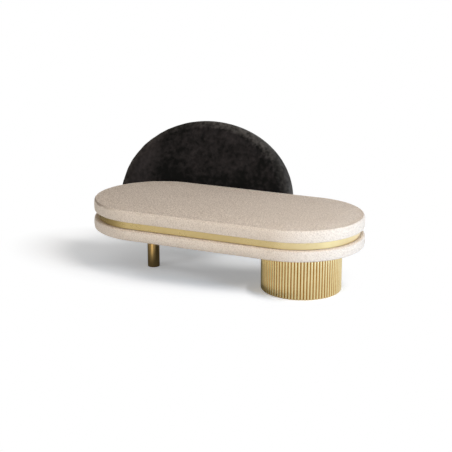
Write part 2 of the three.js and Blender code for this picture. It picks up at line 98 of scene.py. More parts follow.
# Edges round each end of the seat, along each side, and left out of the side rails at each end
# when a grid fills its face, and then edges round the back's arch and along its base.
END_STEPS = 96
SIDE_STEPS = 70
CAP_SPAN = 47
ARC_STEPS = 144
BASE_STEPS = 90

# The least inset that a wall can rise with, the reach within which points are welded, and the
# reach within which a point counts as being at a place.
STRAIGHT = 0.0001
WELD = 0.00005
NEAR = 0.0005

# The room as metal mirrors it, at the left and at the right.
WARM = (1.0, 0.87, 0.64, 1.0)
COOL = (1.0, 1.05, 1.24, 1.0)
WHITE = (1.0, 1.0, 1.0, 1.0)

# Painted pools of light in the floor's shadow, seen only by the camera, and pools in what metal
# mirrors of the floor.
# Each is given by the shift that brings its middle to the origin, its half size and its gain.
PAINTED_LIGHT_POOLS = (
    ((0.0, -0.20), (0.30, 0.19), 0.25),
    ((1.14, -0.26), (0.32, 0.16), 0.16),
    ((0.28, -0.02), (0.30, 0.12), 0.065),
    ((0.62, 0.36), (0.24, 0.14), 0.12),
    ((0.22, 0.30), (0.36, 0.16), 0.075),
)
MIRROR_POOLS = (
    ((0.42, 0.66), (0.16, 0.42), 1.5),
    ((1.42, -0.25), (0.35, 0.9), -0.42),
)


# Shader node helpers


def add(tree, kind, inputs=None, **settings):
    """Adds a node to a tree. An input is a plain value or another node's output socket."""
    made = tree.nodes.new("ShaderNode" + kind)
    for name, value in settings.items():
        setattr(made, name, value)
    for key, value in (inputs or {}).items():
        if isinstance(value, bpy.types.NodeSocket):
            tree.links.new(value, made.inputs[key])
        else:
            made.inputs[key].default_value = value
    return made


def maths(tree, operation, *values, clamp=False):
    """A Math node's output for the given values."""
    inputs = dict(enumerate(values))
    return add(tree, "Math", inputs, operation=operation, use_clamp=clamp).outputs[0]


def plus(tree, first, second, clamp=False):
    return maths(tree, "ADD", first, second, clamp=clamp)


def times(tree, first, second, clamp=False):
    return maths(tree, "MULTIPLY", first, second, clamp=clamp)


def scaled(tree, value, factor, offset, clamp=False):
    """A value times a factor, and an offset added."""
    return maths(tree, "MULTIPLY_ADD", value, factor, offset, clamp=clamp)


def vectors(tree, operation, *values):
    """A Vector Math node's output: a number for a length or a dot product, or else a vector."""
    outputs = add(tree, "VectorMath", dict(enumerate(values)), operation=operation).outputs
    return outputs["Value" if operation in ("LENGTH", "DOT_PRODUCT") else "Vector"]


def axes(tree, vector):
    return add(tree, "SeparateXYZ", {0: vector}).outputs


def blend(tree, share, first, second):
    """A number that goes from the first to the second by a share."""
    return add(tree, "Mix", {0: share, 2: first, 3: second}, data_type="FLOAT").outputs[0]


def blend_colours(tree, share, first, second):
    """A colour that goes from the first to the second by a share."""
    return add(tree, "Mix", {0: share, 6: first, 7: second}, data_type="RGBA").outputs[2]


def remap(tree, value, low, high, to_low=0.0, to_high=1.0):
    """A value taken from one range to another, and held inside it."""
    inputs = {0: value, 1: low, 2: high, 3: to_low, 4: to_high}
    return add(tree, "MapRange", inputs, clamp=True).outputs[0]


def ramped(tree, combine, value, *ramps):
    """A value that each ramp is added to or multiplied with. A ramp is what remap is given."""
    for ramp in ramps:
        value = combine(tree, value, remap(tree, *ramp))
    return value


def noise(tree, vector, scale, detail=2.0, roughness=0.5, distortion=0.0):
    """A noise value at a scale, which counts features per metre."""
    inputs = {
        "Vector": vector,
        "Scale": scale,
        "Detail": detail,
        "Roughness": roughness,
        "Distortion": distortion,
    }
    return add(tree, "TexNoise", inputs).outputs["Fac"]


def stretched(tree, vector, scale, turn=(0.0, 0.0, 0.0)):
    """Coordinates turned and then stretched by a factor for each axis."""
    inputs = {"Vector": vector, "Rotation": turn, "Scale": scale}
    return add(tree, "Mapping", inputs).outputs[0]


# Shared surface effects


def group(name, inputs, *outputs):
    """A new shader node group with named sockets, and what its ends give and take. An input with
    no default is a place or a direction, one with a number is a number, and the rest are colours.
    """
    tree = bpy.data.node_groups.new(name, "ShaderNodeTree")
    kinds = {type(None): "Vector", float: "Float", tuple: "Color"}
    for label, value in inputs.items():
        kind = "NodeSocket" + kinds[type(value)]
        socket = tree.interface.new_socket(label, in_out="INPUT", socket_type=kind)
        if value is not None:
            socket.default_value = value
    for label in outputs:
        kind = "NodeSocketColor" if label == "Colour" else "NodeSocketFloat"
        tree.interface.new_socket(label, in_out="OUTPUT", socket_type=kind)
    entry = tree.nodes.new("NodeGroupInput")
    end = tree.nodes.new("NodeGroupOutput")
    return tree, entry.outputs, end.inputs


def hand_out(tree, out, **values):
    """Links a group's results to its outputs."""
    for name, value in values.items():
        tree.links.new(value, out[name])
    return tree


def make_looped_cloth(name):
    """Pebbly looped yarn: small round loops over a faint diagonal weave, mottled in colour, and
    darker between the loops as painted shade.
    """
    inputs = {
        "Vector": None,
        "Colour": (0.8, 0.7, 0.6, 1.0),
        "Shade": (0.6, 0.5, 0.4, 1.0),
        "Loop scale": 200.0,
        "Weave scale": 90.0,
        "Specks": 0.4,
    }
    tree, given, out = group(name, inputs, "Colour", "Height")
    vector = given["Vector"]
    warp = add(tree, "TexNoise", {"Vector": vector, "Scale": 160.0, "Detail": 1.0})
    push = vectors(tree, "SUBTRACT", warp.outputs["Color"], (0.5, 0.5, 0.5))
    push = vectors(tree, "MULTIPLY", push, (0.006, 0.006, 0.006))
    bent = vectors(tree, "ADD", vector, push)
    inputs = {"Vector": bent, "Scale": given["Loop scale"], "Smoothness": 0.6}
    loops = add(tree, "TexVoronoi", inputs, feature="SMOOTH_F1").outputs["Distance"]
    loop_height = remap(tree, loops, 0.1, 0.75, 1.0, 0.0)
    fibre = noise(tree, vector, 900.0, 3.0, 0.6)
    slant = stretched(tree, vector, (1.0, 1.0, 1.0), (0.0, math.radians(32), math.radians(18)))
    inputs = {"Vector": slant, "Scale": given["Weave scale"], "Distortion": 1.0, "Detail": 1.0}
    weave = add(tree, "TexWave", inputs, bands_direction="X").outputs["Fac"]
    height = scaled(tree, fibre, 0.25, times(tree, loop_height, 0.75))
    height = scaled(tree, weave, 0.12, height)
    patches = noise(tree, vector, 7.0)
    specks = noise(tree, stretched(tree, vector, (1.0, 0.45, 1.0)), 215.0, 1.0)
    share = times(tree, remap(tree, specks, 0.43, 0.57), given["Specks"])
    # Painted shade: the cloth goes towards the shade colour between the loops, where they stand
    # low.
    share = plus(tree, remap(tree, loop_height, 0.05, 0.7, 0.5, 0.0), share)
    share = scaled(tree, weave, -0.16, share)
    share = scaled(tree, remap(tree, patches, 0.3, 0.7), 0.08, share, clamp=True)
    mottled = blend_colours(tree, share, given["Colour"], given["Shade"])
    return hand_out(tree, out, Colour=mottled, Height=height)


def make_crushed_pile(name):
    """Crushed pile: patches where the nap lies over and looks lighter, between upright dark nap."""
    inputs = {
        "Vector": None,
        "Upright": (0.01, 0.01, 0.009, 1.0),
        "Laid": (0.03, 0.026, 0.025, 1.0),
        "Patch scale": 26.0,
        "Pressed": 0.0,
    }
    tree, given, out = group(name, inputs, "Colour", "Roughness", "Height")
    vector = given["Vector"]
    broad = noise(tree, vector, times(tree, given["Patch scale"], 0.4), 2.0, 0.5, 0.3)
    small = noise(tree, vector, times(tree, given["Patch scale"], 1.6), 3.0, 0.5, 0.3)
    lean = scaled(tree, small, 0.55, times(tree, broad, 0.45))
    laid = remap(tree, plus(tree, lean, given["Pressed"]), 0.32, 0.74)
    nap = noise(tree, vector, 1400.0, 2.0, 0.6)
    share = plus(tree, remap(tree, nap, 0.3, 0.7, -0.1, 0.1), laid, clamp=True)
    return hand_out(
        tree,
        out,
        Colour=blend_colours(tree, share, given["Upright"], given["Laid"]),
        Roughness=remap(tree, laid, 0.0, 1.0, 0.75, 0.6),
        Height=scaled(tree, nap, 0.08, lean),
    )


def make_brushed_metal(name):
    """Fine brush lines along one way, broad smudges and the odd rubbed spot."""
    inputs = {
        "Vector": None,
        "Colour": (0.6, 0.5, 0.2, 1.0),
        "Tarnish": (0.3, 0.2, 0.1, 1.0),
        "Brush": None,
        "Low roughness": 0.2,
        "High roughness": 0.4,
    }
    tree, given, out = group(name, inputs, "Colour", "Roughness", "Height")
    vector = given["Vector"]
    lines = noise(tree, vectors(tree, "MULTIPLY", vector, given["Brush"]), 1.0, 3.0, 0.65)
    smudge = noise(tree, vector, 9.0, 4.0, 0.65, 0.4)
    spots = remap(tree, noise(tree, vector, 60.0, 3.0, 0.7), 0.62, 0.8)
    share = times(tree, remap(tree, smudge, 0.4, 0.75), 0.28)
    share = scaled(tree, spots, 0.3, share)
    share = scaled(tree, remap(tree, lines, 0.35, 0.65), 0.12, share, clamp=True)
    rough = scaled(tree, lines, 0.4, times(tree, smudge, 0.6))
    return hand_out(
        tree,
        out,
        Colour=blend_colours(tree, share, given["Colour"], given["Tarnish"]),
        Roughness=remap(tree, rough, 0.3, 0.7, given["Low roughness"], given["High roughness"]),
        Height=lines,
    )


def make_layered_wood(name):
    """Layered board: long veneer grain on its faces, and stacked layers where its edge shows."""
    inputs = {
        "Vector": None,
        "Normal": None,
        "Light": (0.6, 0.45, 0.25, 1.0),
        "Dark": (0.35, 0.22, 0.1, 1.0),
    }
    tree, given, out = group(name, inputs, "Colour", "Roughness", "Height")
    vector = given["Vector"]
    long_way = stretched(tree, vector, (1.6, 26.0, 26.0))
    inputs = {
        "Vector": long_way,
        "Scale": 0.35,
        "Distortion": 9.0,
        "Detail": 3.0,
        "Detail Scale": 0.8,
    }
    rings = add(tree, "TexWave", inputs, bands_direction="Y").outputs["Fac"]
    pores = noise(tree, stretched(tree, vector, (14.0, 420.0, 420.0)), 1.0, 3.0, 0.65)
    grain = scaled(tree, pores, 0.5, times(tree, rings, 0.45))
    ply_turn = 2100.0
    wave = maths(tree, "SINE", times(tree, axes(tree, vector)[2], ply_turn))
    layers = remap(tree, wave, -0.25, 0.25, 0.15, 0.85)
    speckle = noise(tree, stretched(tree, vector, (300.0, 300.0, 900.0)), 1.0, 2.0, 0.6)
    layers = scaled(tree, speckle, 0.25, times(tree, layers, 0.8))
    upright = maths(tree, "ABSOLUTE", axes(tree, given["Normal"])[2])
    share = blend(tree, remap(tree, upright, 0.55, 0.75), layers, grain)
    return hand_out(
        tree,
        out,
        Colour=blend_colours(tree, share, given["Light"], given["Dark"]),
        Roughness=remap(tree, share, 0.0, 1.0, 0.5, 0.72),
        Height=share,
    )


def make_dust(name):
    """Faint dust and scuffs that settle over a dark finish."""
    inputs = {
        "Vector": None,
        "Colour": (0.02, 0.02, 0.02, 1.0),
        "Dust": (0.2, 0.19, 0.18, 1.0),
        "Amount": 0.15,
        "Grain scale": 700.0,
    }
    tree, given, out = group(name, inputs, "Colour", "Roughness", "Height")
    cloud = remap(tree, noise(tree, given["Vector"], 11.0, 5.0, 0.7), 0.45, 0.8)
    grain = noise(tree, given["Vector"], given["Grain scale"], 2.0, 0.6)
    share = times(tree, times(tree, cloud, grain), 2.0)
    share = times(tree, share, given["Amount"], clamp=True)
    return hand_out(
        tree,
        out,
        Colour=blend_colours(tree, share, given["Colour"], given["Dust"]),
        Roughness=scaled(tree, cloud, 0.2, 0.4),
        Height=grain,
    )


EFFECTS = {
    "Looped cloth": make_looped_cloth,
    "Crushed pile": make_crushed_pile,
    "Brushed metal": make_brushed_metal,
    "Layered wood": make_layered_wood,
    "Settled dust": make_dust,
}


# Materials


def colour(values):
    """A colour property as a shader colour with alpha."""
    return (*values, 1.0)


def start_material(name):
    """A new material with a plain shader, and its tree, shader and object coordinates."""
    made = bpy.data.materials.new(name)
    made.use_nodes = True
    tree = made.node_tree
    return made, tree, tree.nodes["Principled BSDF"], add(tree, "TexCoord").outputs["Object"]


def apply_effect(tree, name, inputs, depth, strength=1.0):
    """Places a shared effect with its own values, made the first time that it is asked for, and
    joins its colour, roughness and height to the shader.
    """
    effect = bpy.data.node_groups.get(name) or EFFECTS[name](name)
    outputs = add(tree, "Group", inputs, node_tree=effect).outputs
    shader = tree.nodes["Principled BSDF"]
    tree.links.new(outputs["Colour"], shader.inputs["Base Color"])
    if "Roughness" in outputs:
        tree.links.new(outputs["Roughness"], shader.inputs["Roughness"])
    relief = {"Strength": strength, "Distance": depth, "Height": outputs["Height"]}
    tree.links.new(add(tree, "Bump", relief).outputs[0], shader.inputs["Normal"])
    return outputs


def set_plain(shader, values):
    """Sets the shader's own sockets to what is the same all over the surface."""
    for name, value in values.items():
        shader.inputs[name].default_value = value


def looped_cloth_material(settings):
    """Looped cloth, with fewer specks on its sides, and painted shade on the top edge at the back's
    end.
    """
    made, tree, shader, where = start_material("Beige looped cloth")
    normal = add(tree, "NewGeometry").outputs["Normal"]
    flat = maths(tree, "ABSOLUTE", axes(tree, normal)[2])
    across, _, height = axes(tree, where)
    # The specks are strongest on the tops, where they also stand in for the loops' shading that the
    # even light there doesn't show, so they are partly painted shade. They thin out towards the
    # right.
    specks = remap(tree, flat, 0.4, 0.95, 0.225, 0.82)
    inputs = {
        "Vector": where,
        "Colour": colour(settings.cloth_colour),
        "Shade": colour(settings.cloth_shade),
        "Loop scale": 1.0 / settings.loop_size,
        "Weave scale": 34.0,
        "Specks": ramped(tree, times, specks, (across, -0.1, 0.8, 1.0, 0.55)),
    }
    outputs = apply_effect(tree, "Looped cloth", inputs, settings.loop_height)
    # Painted shade: the rounded top edge at the left end is darkened towards the edge shade colour,
    # where it faces away from the lamps.
    shaded = ramped(
        tree,
        times,
        remap(tree, flat, 0.2, 0.45),
        (flat, 0.86, 0.97, 1.0, 0.0),
        (height, UPPER_HIGH.z - 0.024, UPPER_HIGH.z - 0.020, 0.0, 1.0),
        (across, -0.64, -0.48, settings.edge_shade, 0.0),
    )
    edge_shaded_colour = blend_colours(tree, shaded, outputs["Colour"], colour(settings.edge_shade_colour))
    tree.links.new(edge_shaded_colour, shader.inputs["Base Color"])
    plain = {
        "Roughness": 0.95,
        "Specular IOR Level": 0.15,
        "Sheen Weight": 0.12,
        "Sheen Roughness": 0.6,
        "Sheen Tint": (1.0, 0.95, 0.9, 1.0),
    }
    set_plain(shader, plain)
    return made


def velvet_material(settings):
    """Crushed velvet, pressed here and there, darker towards the bottom as painted shade, and with
    a painted sheen along the rim.
    """
    made, tree, shader, where = start_material("Charcoal crushed velvet")
    inputs = {
        "Vector": where,
        "Location": BACK_STAND.translation,
        "Rotation": (BACK_TURN, 0, 0),
        "Scale": (BACK_HALF_WIDTH, BACK_HEIGHT, 1),
    }
    flat = add(tree, "Mapping", inputs, vector_type="TEXTURE").outputs[0]
    across, tall, depth = axes(tree, flat)
    tall = scaled(tree, noise(tree, where, 9.0), 0.25, tall)
    # Painted shade: less of the nap is laid over towards the bottom, which darkens the velvet where
    # the back meets the seat. The other ramps lay more nap over at the left and less at the right.
    pressed = ramped(
        tree,
        plus,
        remap(tree, tall, 0.25, 0.62, -0.11, 0.0),
        (across, -0.68, -0.48, 0.17, -0.13),
        (across, -0.42, -0.1, 0.0, 0.12),
        (across, 0.3, 0.6, 0.0, -0.06),
    )
    out = vectors(tree, "LENGTH", vectors(tree, "MULTIPLY", flat, (1, 1, 0)))
    patchy = noise(tree, where, 38.0, 3.0, 0.55)
    # Painted sheen: the velvet lightens in a band along the rim, strongest towards the right where
    # the lamps light it, and faint at the left.
    rim = ramped(
        tree,
        times,
        remap(tree, scaled(tree, patchy, 0.12, out), 0.955, 1.075),
        (across, -0.3, 0.15, 0.36, 1.0),
        (across, 0.55, 0.80, 1.0, 0.4),
        (across, 0.92, 1.0, 1.0, 1.8),
        (depth, -0.100, -0.075, 0.0, 1.0),
        (patchy, 0.3, 0.62, 0.45, 1.0),
    )
    inputs = {
        "Vector": where,
        "Upright": colour(settings.velvet_upright),
        "Laid": colour(settings.velvet_laid),
        "Patch scale": 1.0 / settings.patch_size,
        "Pressed": pressed,
    }
    outputs = apply_effect(tree, "Crushed pile", inputs, settings.patch_relief)
    # The pile's colour with the painted rim sheen blended in.
    brushed = blend_colours(tree, rim, outputs["Colour"], colour(settings.velvet_rim_sheen))
    tree.links.new(brushed, shader.inputs["Base Color"])
    plain = {
        "Specular IOR Level": 0.05,
        "Sheen Weight": 0.16,
        "Sheen Roughness": 0.3,
        "Sheen Tint": (0.8, 0.74, 0.72, 1.0),
    }
    set_plain(shader, plain)
    return made


def metal_material(name, tint, tarnish, brush, roughness, relief):
    """A brushed metal. Brush is the fineness of its lines along each axis, in lines per metre,
    roughness is its least and most, and relief is the depth and the strength of the lines.
    """
    made, tree, shader, where = start_material(name)
    inputs = {
        "Vector": where,
        "Colour": colour(tint),
        "Tarnish": colour(tarnish),
        "Brush": brush,
        "Low roughness": roughness[0],
        "High roughness": roughness[1],
    }
    apply_effect(tree, "Brushed metal", inputs, *relief)
    set_plain(shader, {"Metallic": 1.0})
    return made


def brass_material(settings, name, tint, brush, smoother=0.0, coat=0.1):
    roughness = (settings.roughness_low - smoother, settings.roughness_high - smoother)
    relief = (0.00004, 0.6)
    made = metal_material(name, tint, settings.brass_tarnish, brush, roughness, relief)
    shader = made.node_tree.nodes["Principled BSDF"]
    set_plain(shader, {"Coat Weight": coat, "Coat Roughness": 0.3})
    return made


def paint_groove_shade(settings, material, groove, depth):
    """Paints warm, dark shade into the brass towards the bottom of the grooves."""
    tree = material.node_tree
    base = tree.nodes["Principled BSDF"].inputs["Base Color"]
    where = add(tree, "TexCoord").outputs["Object"]
    middle = (-SLEEVE_MIDDLE.x, -SLEEVE_MIDDLE.y, 0)
    inputs = {"Vector": where, "Location": middle, "Scale": (1, 1, 0)}
    out = vectors(tree, "LENGTH", add(tree, "Mapping", inputs).outputs[0])
    share = remap(tree, out, groove + depth * 0.3, groove + depth * 0.88, 1.0, 0.0)
    patchy = remap(tree, noise(tree, where, 45.0, 3.0, 0.6), 0.3, 0.6, 0.8, 1.0)
    share = times(tree, share, patchy, clamp=True)
    bright = base.links[0].from_socket
    tree.links.new(blend_colours(tree, share, bright, colour(settings.groove_shade_colour)), base)


def zinc_material(settings):
    tarnish = (0.3, 0.31, 0.3)
    brush = (900.0, 900.0, 300.0)
    relief = (0.00005, 0.5)
    name = "Zinc plated steel"
    return metal_material(name, settings.zinc_colour, tarnish, brush, (0.28, 0.5), relief)


def dark_material(name, tint, dust, amount, grain, depth, duller=0.0):
    """A dark painted, woven or moulded finish with a little dust over it."""
    made, tree, shader, where = start_material(name)
    inputs = {
        "Vector": where,
        "Colour": colour(tint),
        "Dust": colour(dust),
        "Amount": amount,
        "Grain scale": grain,
    }
    outputs = apply_effect(tree, "Settled dust", inputs, depth)
    rough = plus(tree, outputs["Roughness"], duller, clamp=True)
    tree.links.new(rough, shader.inputs["Roughness"])
    return made


def steel_material(settings):
    dust = (0.06, 0.06, 0.06)
    values = {"amount": 0.3, "grain": 900.0, "depth": 0.0001}
    return dark_material("Black painted steel", settings.steel_colour, dust, **values)


def lining_material(settings):
    dust = (0.08, 0.078, 0.075)
    values = {"amount": 0.5, "grain": 500.0, "depth": 0.0005, "duller": 0.35}
    return dark_material("Black lining", settings.lining_colour, dust, **values)


def rubber_material(settings):
    dust = (0.07, 0.07, 0.07)
    values = {"amount": 0.35, "grain": 400.0, "depth": 0.0002, "duller": 0.25}
    return dark_material("Black rubber", settings.rubber_colour, dust, **values)


def wood_material(settings, name, turn=0.0):
    """Layered board. Turn sets the board's own flat over the frame's, for one that stands up."""
    made, tree, shader, where = start_material(name)
    normal = add(tree, "NewGeometry").outputs["Normal"]
    inputs = {
        "Vector": stretched(tree, where, (1.0, 1.0, 1.0), (turn, 0.0, 0.0)),
        "Normal": stretched(tree, normal, (1.0, 1.0, 1.0), (turn, 0.0, 0.0)),
        "Light": colour(settings.wood_light),
        "Dark": colour(settings.wood_dark),
    }
    apply_effect(tree, "Layered wood", inputs, 0.0002, 0.6)
    set_plain(shader, {"Specular IOR Level": 0.3})
    return made


def dress_node(name, material):
    """Gives a node of the frame its finish. Its mesh and its place stay as they are."""
    node = frame["nodes"][name]
    if not node.data.materials:
        node.data.materials.append(material)
    for surface in node.material_slots:
        surface.link = "OBJECT"
        surface.material = material


# Shaping helpers


def new_object(name, data):
    made = bpy.data.objects.new(name, data)
    bpy.context.scene.collection.objects.link(made)
    return made


def new_piece(name, bm, material, nodes, smooth=True):
    """Turns a bmesh into a finished piece that rides on the frame and stands for its nodes."""
    mesh = bpy.data.meshes.new(name)
    bm.to_mesh(mesh)
    bm.free()
    made = new_object(name, mesh)
    mesh.materials.append(material)
    mesh.polygons.foreach_set("use_smooth", [smooth] * len(mesh.polygons))
    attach(made, "root")
    if nodes:
        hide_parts(*nodes)
    return made


def soften(obj):
    """Adds a subdivision that looks the same on screen and in the render."""
    made = obj.modifiers.new("soften", "SUBSURF")
    made.levels = 1
    made.render_levels = 1


def ease(obj, width):
    """Eases a piece's sharp edges."""
    made = obj.modifiers.new("eased edges", "BEVEL")
    made.width = width
    made.segments = 2
    made.limit_method = "ANGLE"
    made.angle_limit = 0.6
    made.harden_normals = True


def verts_of(geom):
    return [g for g in geom if isinstance(g, bmesh.types.BMVert)]


def face_of(geom):
    return next(g for g in geom if isinstance(g, bmesh.types.BMFace))


def outline_face(bm):
    """Closes the one outline in a bmesh with a face that looks up."""
    face = bmesh.ops.contextual_create(bm, geom=bm.edges[:])["faces"][0]
    face.normal_update()
    if face.normal.z < 0:
        bmesh.ops.reverse_faces(bm, faces=[face])
        face.normal_update()
    return face


def seat_outline(bm, length, width, height):
    """The seat's round-ended outline at a height, as one face that looks up."""
    radius = width / 2
    turn = Matrix.Rotation(math.pi / (2 * END_STEPS), 4, "Z")
    ring = bmesh.ops.create_circle(bm, segments=2 * END_STEPS, radius=radius, matrix=turn)
    for vert in ring["verts"]:
        vert.co.x += math.copysign(length / 2 - radius, vert.co.x)
    longs = [e for e in bm.edges if e.verts[0].co.x * e.verts[1].co.x < 0]
    bmesh.ops.subdivide_edges(bm, edges=longs, cuts=SIDE_STEPS - 1)
    bmesh.ops.translate(bm, verts=bm.verts, vec=(SEAT_MIDDLE.x, SEAT_MIDDLE.y, height))
    return outline_face(bm)


def half_moon(bm, half_width, height, base, corner, level):
    """A half moon above a straight base with rounded corners, as one face that looks up."""
    bmesh.ops.create_circle(bm, segments=2 * ARC_STEPS, radius=1.0)
    bmesh.ops.scale(bm, verts=bm.verts, vec=(half_width, height, 1.0))
    geom = bm.verts[:] + bm.edges[:]
    bend = (0, base + corner, 0)
    bmesh.ops.bisect_plane(
        bm, geom=geom, dist=0.002, plane_co=bend, plane_no=(0, 1, 0), clear_inner=True
    )
    ends = sorted((v for v in bm.verts if len(v.link_edges) == 1), key=lambda v: v.co.x)
    for side, end in zip((-1, 1), ends):
        centre = (end.co.x - side * corner, end.co.y, 0)
        turn = -side * math.pi / 2
        bmesh.ops.spin(bm, geom=[end], cent=centre, axis=(0, 0, 1), angle=turn, steps=6)
    foot = bm.edges.new([v for v in bm.verts if len(v.link_edges) == 1])
    bmesh.ops.subdivide_edges(bm, edges=[foot], cuts=BASE_STEPS - 1)
    bmesh.ops.translate(bm, verts=bm.verts, vec=(0, 0, level))
    return outline_face(bm)


def twin(bm, face):
    """A copy of an outline's face that looks the other way."""
    other = face_of(bmesh.ops.duplicate(bm, geom=[face, *face.edges, *face.verts])["geom"])
    bmesh.ops.reverse_faces(bm, faces=[other])
    other.normal_update()
    return other


def rise(bm, face, profile, start=(0.0, 0.0)):
    """Draws a face in and up through a profile of inset and height, and leaves a wall behind it.
    Start is the inset and height that the face has reached.
    """
    for step in profile:
        bmesh.ops.inset_region(
            bm,
            faces=[face],
            thickness=max(step[0] - start[0], STRAIGHT),
            depth=step[1] - start[1],
            use_even_offset=True,
            use_boundary=True,
        )
        face.normal_update()
        start = step
    return face


def rounded(inset, height, across, up, steps):
    """The inset and height of each step round a soft edge that ends flat."""
    turns = [math.pi / 2 * i / steps for i in range(steps + 1)]
    return [(inset + across * (1 - math.cos(t)), height + up * math.sin(t)) for t in turns]


def close(bm):
    """Welds what lies together and turns every face outwards."""
    bmesh.ops.remove_doubles(bm, verts=bm.verts, dist=WELD)
    bmesh.ops.recalc_face_normals(bm, faces=bm.faces)


def repeat(bm, places):
    """Sets a copy of the shape in a bmesh at each place and drops the first one."""
    close(bm)
    first = bm.verts[:] + bm.edges[:] + bm.faces[:]
    for place in places:
        made = bmesh.ops.duplicate(bm, geom=first)["geom"]
        bmesh.ops.transform(bm, matrix=place, verts=verts_of(made))
    bmesh.ops.delete(bm, geom=verts_of(first), context="VERTS")


def sewn_edge(bm, face, side, edge, step, *after):
    """Draws a face in by a point on its side and round a soft edge, and on through what comes
    after. The ring that it leaves at a step of the edge is marked, where the cover is sewn.
    """
    face = rise(bm, face, [side, *edge[: step + 1]])
    seam = bm.verts.layers.int.get("seam")
    for vert in face.verts:
        vert[seam] = 1
    return rise(bm, face, [*edge[step + 1 :], *after], edge[step])


def grid_cap(bm, face, rails):
    """Fills a face with an even grid between two rails of edges."""
    bmesh.ops.delete(bm, geom=[face], context="FACES_ONLY")
    bmesh.ops.grid_fill(bm, edges=rails, mat_nr=0, use_smooth=True, use_interp_simple=False)


def seat_rails(face):
    """The front and rear edges of a seat-shaped face, without the middle of each round end."""
    edges = sorted(face.edges, key=lambda e: e.verts[0].co.x + e.verts[1].co.x)
    return edges[CAP_SPAN:-CAP_SPAN]


def moon_rails(face):
    """The base edges of a half moon, and as many edges at its top."""
    foot = min(v.co.y for v in face.verts) + 0.00001
    base = [e for e in face.edges if all(v.co.y < foot for v in e.verts)]
    edges = sorted(face.edges, key=lambda e: e.verts[0].co.y + e.verts[1].co.y)
    return base + edges[-len(base) :]


def hold(obj, held):
    """Pins the points of a cushion that pass a test, so that its filling leaves them in place."""
    verts = [v.index for v in obj.data.vertices if held(v.co)]
    obj.vertex_groups.new(name="held").add(verts, 1.0, "REPLACE")


def fill_out(obj, pressure, reach):
    """Blows the cover up from inside and keeps the result. No point goes further out than reach,
    and the foam behind the cover lets it sink very little.
    """
    cloth = obj.modifiers.new("filling", "CLOTH")
    cloth.collision_settings.use_collision = False
    settings = cloth.settings
    settings.quality = 5
    settings.mass = 0.3
    settings.tension_stiffness = 15
    settings.compression_stiffness = 15
    settings.bending_stiffness = 0.5
    settings.use_pressure = True
    settings.uniform_pressure_force = pressure
    settings.effector_weights.gravity = 0
    settings.vertex_group_mass = "held"
    settle_steps = 20
    held_back = 0.9
    scene = bpy.context.scene
    for step in range(settle_steps):
        scene.frame_set(step + 1)
    filled = obj.evaluated_get(bpy.context.evaluated_depsgraph_get()).to_mesh()
    ways = []
    for vert, moved in zip(obj.data.vertices, filled.vertices):
        way = moved.co - vert.co
        sunk = min(0.0, way.dot(vert.normal))
        way -= vert.normal * sunk * held_back
        far = way.length
        ways.append(way * (reach * (1 - math.exp(-far / reach)) / far) if far > 1e-7 else way)
    for vert, way in zip(obj.data.vertices, ways):
        vert.co += way
    obj.modifiers.remove(cloth)
    scene.frame_set(1)
    obj.data.update()


def sew(obj, depth):
    """Pulls in the marked rings, where the cover is sewn."""
    bm = bmesh.new()
    bm.from_mesh(obj.data)
    bm.normal_update()
    layer = bm.verts.layers.int["seam"]
    for vert in [v for v in bm.verts if v[layer]]:
        vert.co -= vert.normal * depth
    bm.to_mesh(obj.data)
    bm.free()


# Settings


def colour_setting(name, description, default):
    return bpy.props.FloatVectorProperty(
        name=name, description=description, default=default, size=3, min=0, max=1, subtype="COLOR"
    )


def place_setting(name, description, default):
    return bpy.props.FloatVectorProperty(
        name=name, description=description, default=default, size=3, subtype="TRANSLATION"
    )


def length_setting(name, description, default, least=0.0):
    return bpy.props.FloatProperty(
        name=name, description=description, default=default, min=least, unit="LENGTH"
    )


def share_setting(name, description, default):
    return bpy.props.FloatProperty(
        name=name, description=description, default=default, min=0, max=1, subtype="FACTOR"
    )


def level_setting(name, description, default):
    return bpy.props.FloatProperty(name=name, description=description, default=default, min=0)


class SeatSettings(bpy.types.PropertyGroup):
    cloth_colour: colour_setting(
        "Cloth colour", "Colour of the looped seat cloth", (0.80, 0.683, 0.56)
    )
    cloth_shade: colour_setting(
        "Cloth shade", "Painted shade between the loops of the seat cloth, and the colour of its specks", (0.50, 0.392, 0.30)
    )
    loop_size: length_setting("Loop size", "Width of one loop of yarn", 0.0055, 0.001)
    loop_height: length_setting("Loop height", "How far the loops stand out", 0.0005)
    edge_shade_colour: colour_setting(
        "Edge shade colour", "Cloth colour where the edge of the left end is soiled", (0.26, 0.195, 0.145)
    )
    edge_shade: share_setting(
        "Edge shade", "How much painted shade darkens the top edge at the left end", 0.8
    )
    top_edge: length_setting("Top edge", "Radius of the upper cushion's top edge", 0.010, 0.004)
    low_edge: length_setting("Other edges", "Radius of the cushions' other edges", 0.010, 0.004)
    crown: length_setting("Crown", "How far the filling may lift the top", 0.006)
    pressure: level_setting("Filling pressure", "Pressure inside the covers", 4.0)
    seam_depth: length_setting("Seam depth", "How far a sewn seam pulls in", 0.0024)


class BackSettings(bpy.types.PropertyGroup):
    velvet_upright: colour_setting(
        "Upright nap", "Colour of the velvet where its nap stands up", (0.0036, 0.0034, 0.0027)
    )
    velvet_laid: colour_setting(
        "Laid nap", "Colour of the velvet where its nap is pressed over", (0.032, 0.0258, 0.0240)
    )
    velvet_rim_sheen: colour_setting(
        "Painted rim sheen", "Colour of the painted sheen along the velvet's rim", (0.104, 0.092, 0.079)
    )
    patch_size: length_setting("Patch size", "Size of the crushed patches", 0.042, 0.005)
    patch_relief: length_setting("Patch relief", "Relief of the crushed patches", 0.004)
    crown: length_setting("Crown", "How far the filling may lift the front", 0.010)
    pressure: level_setting("Filling pressure", "Pressure inside the cover", 4.0)
    seam_depth: length_setting("Seam depth", "How far a sewn seam pulls in", 0.0014)
    rim_loft: length_setting("Rim loft", "How far the wadding lifts the cover off the rim", 0.007)


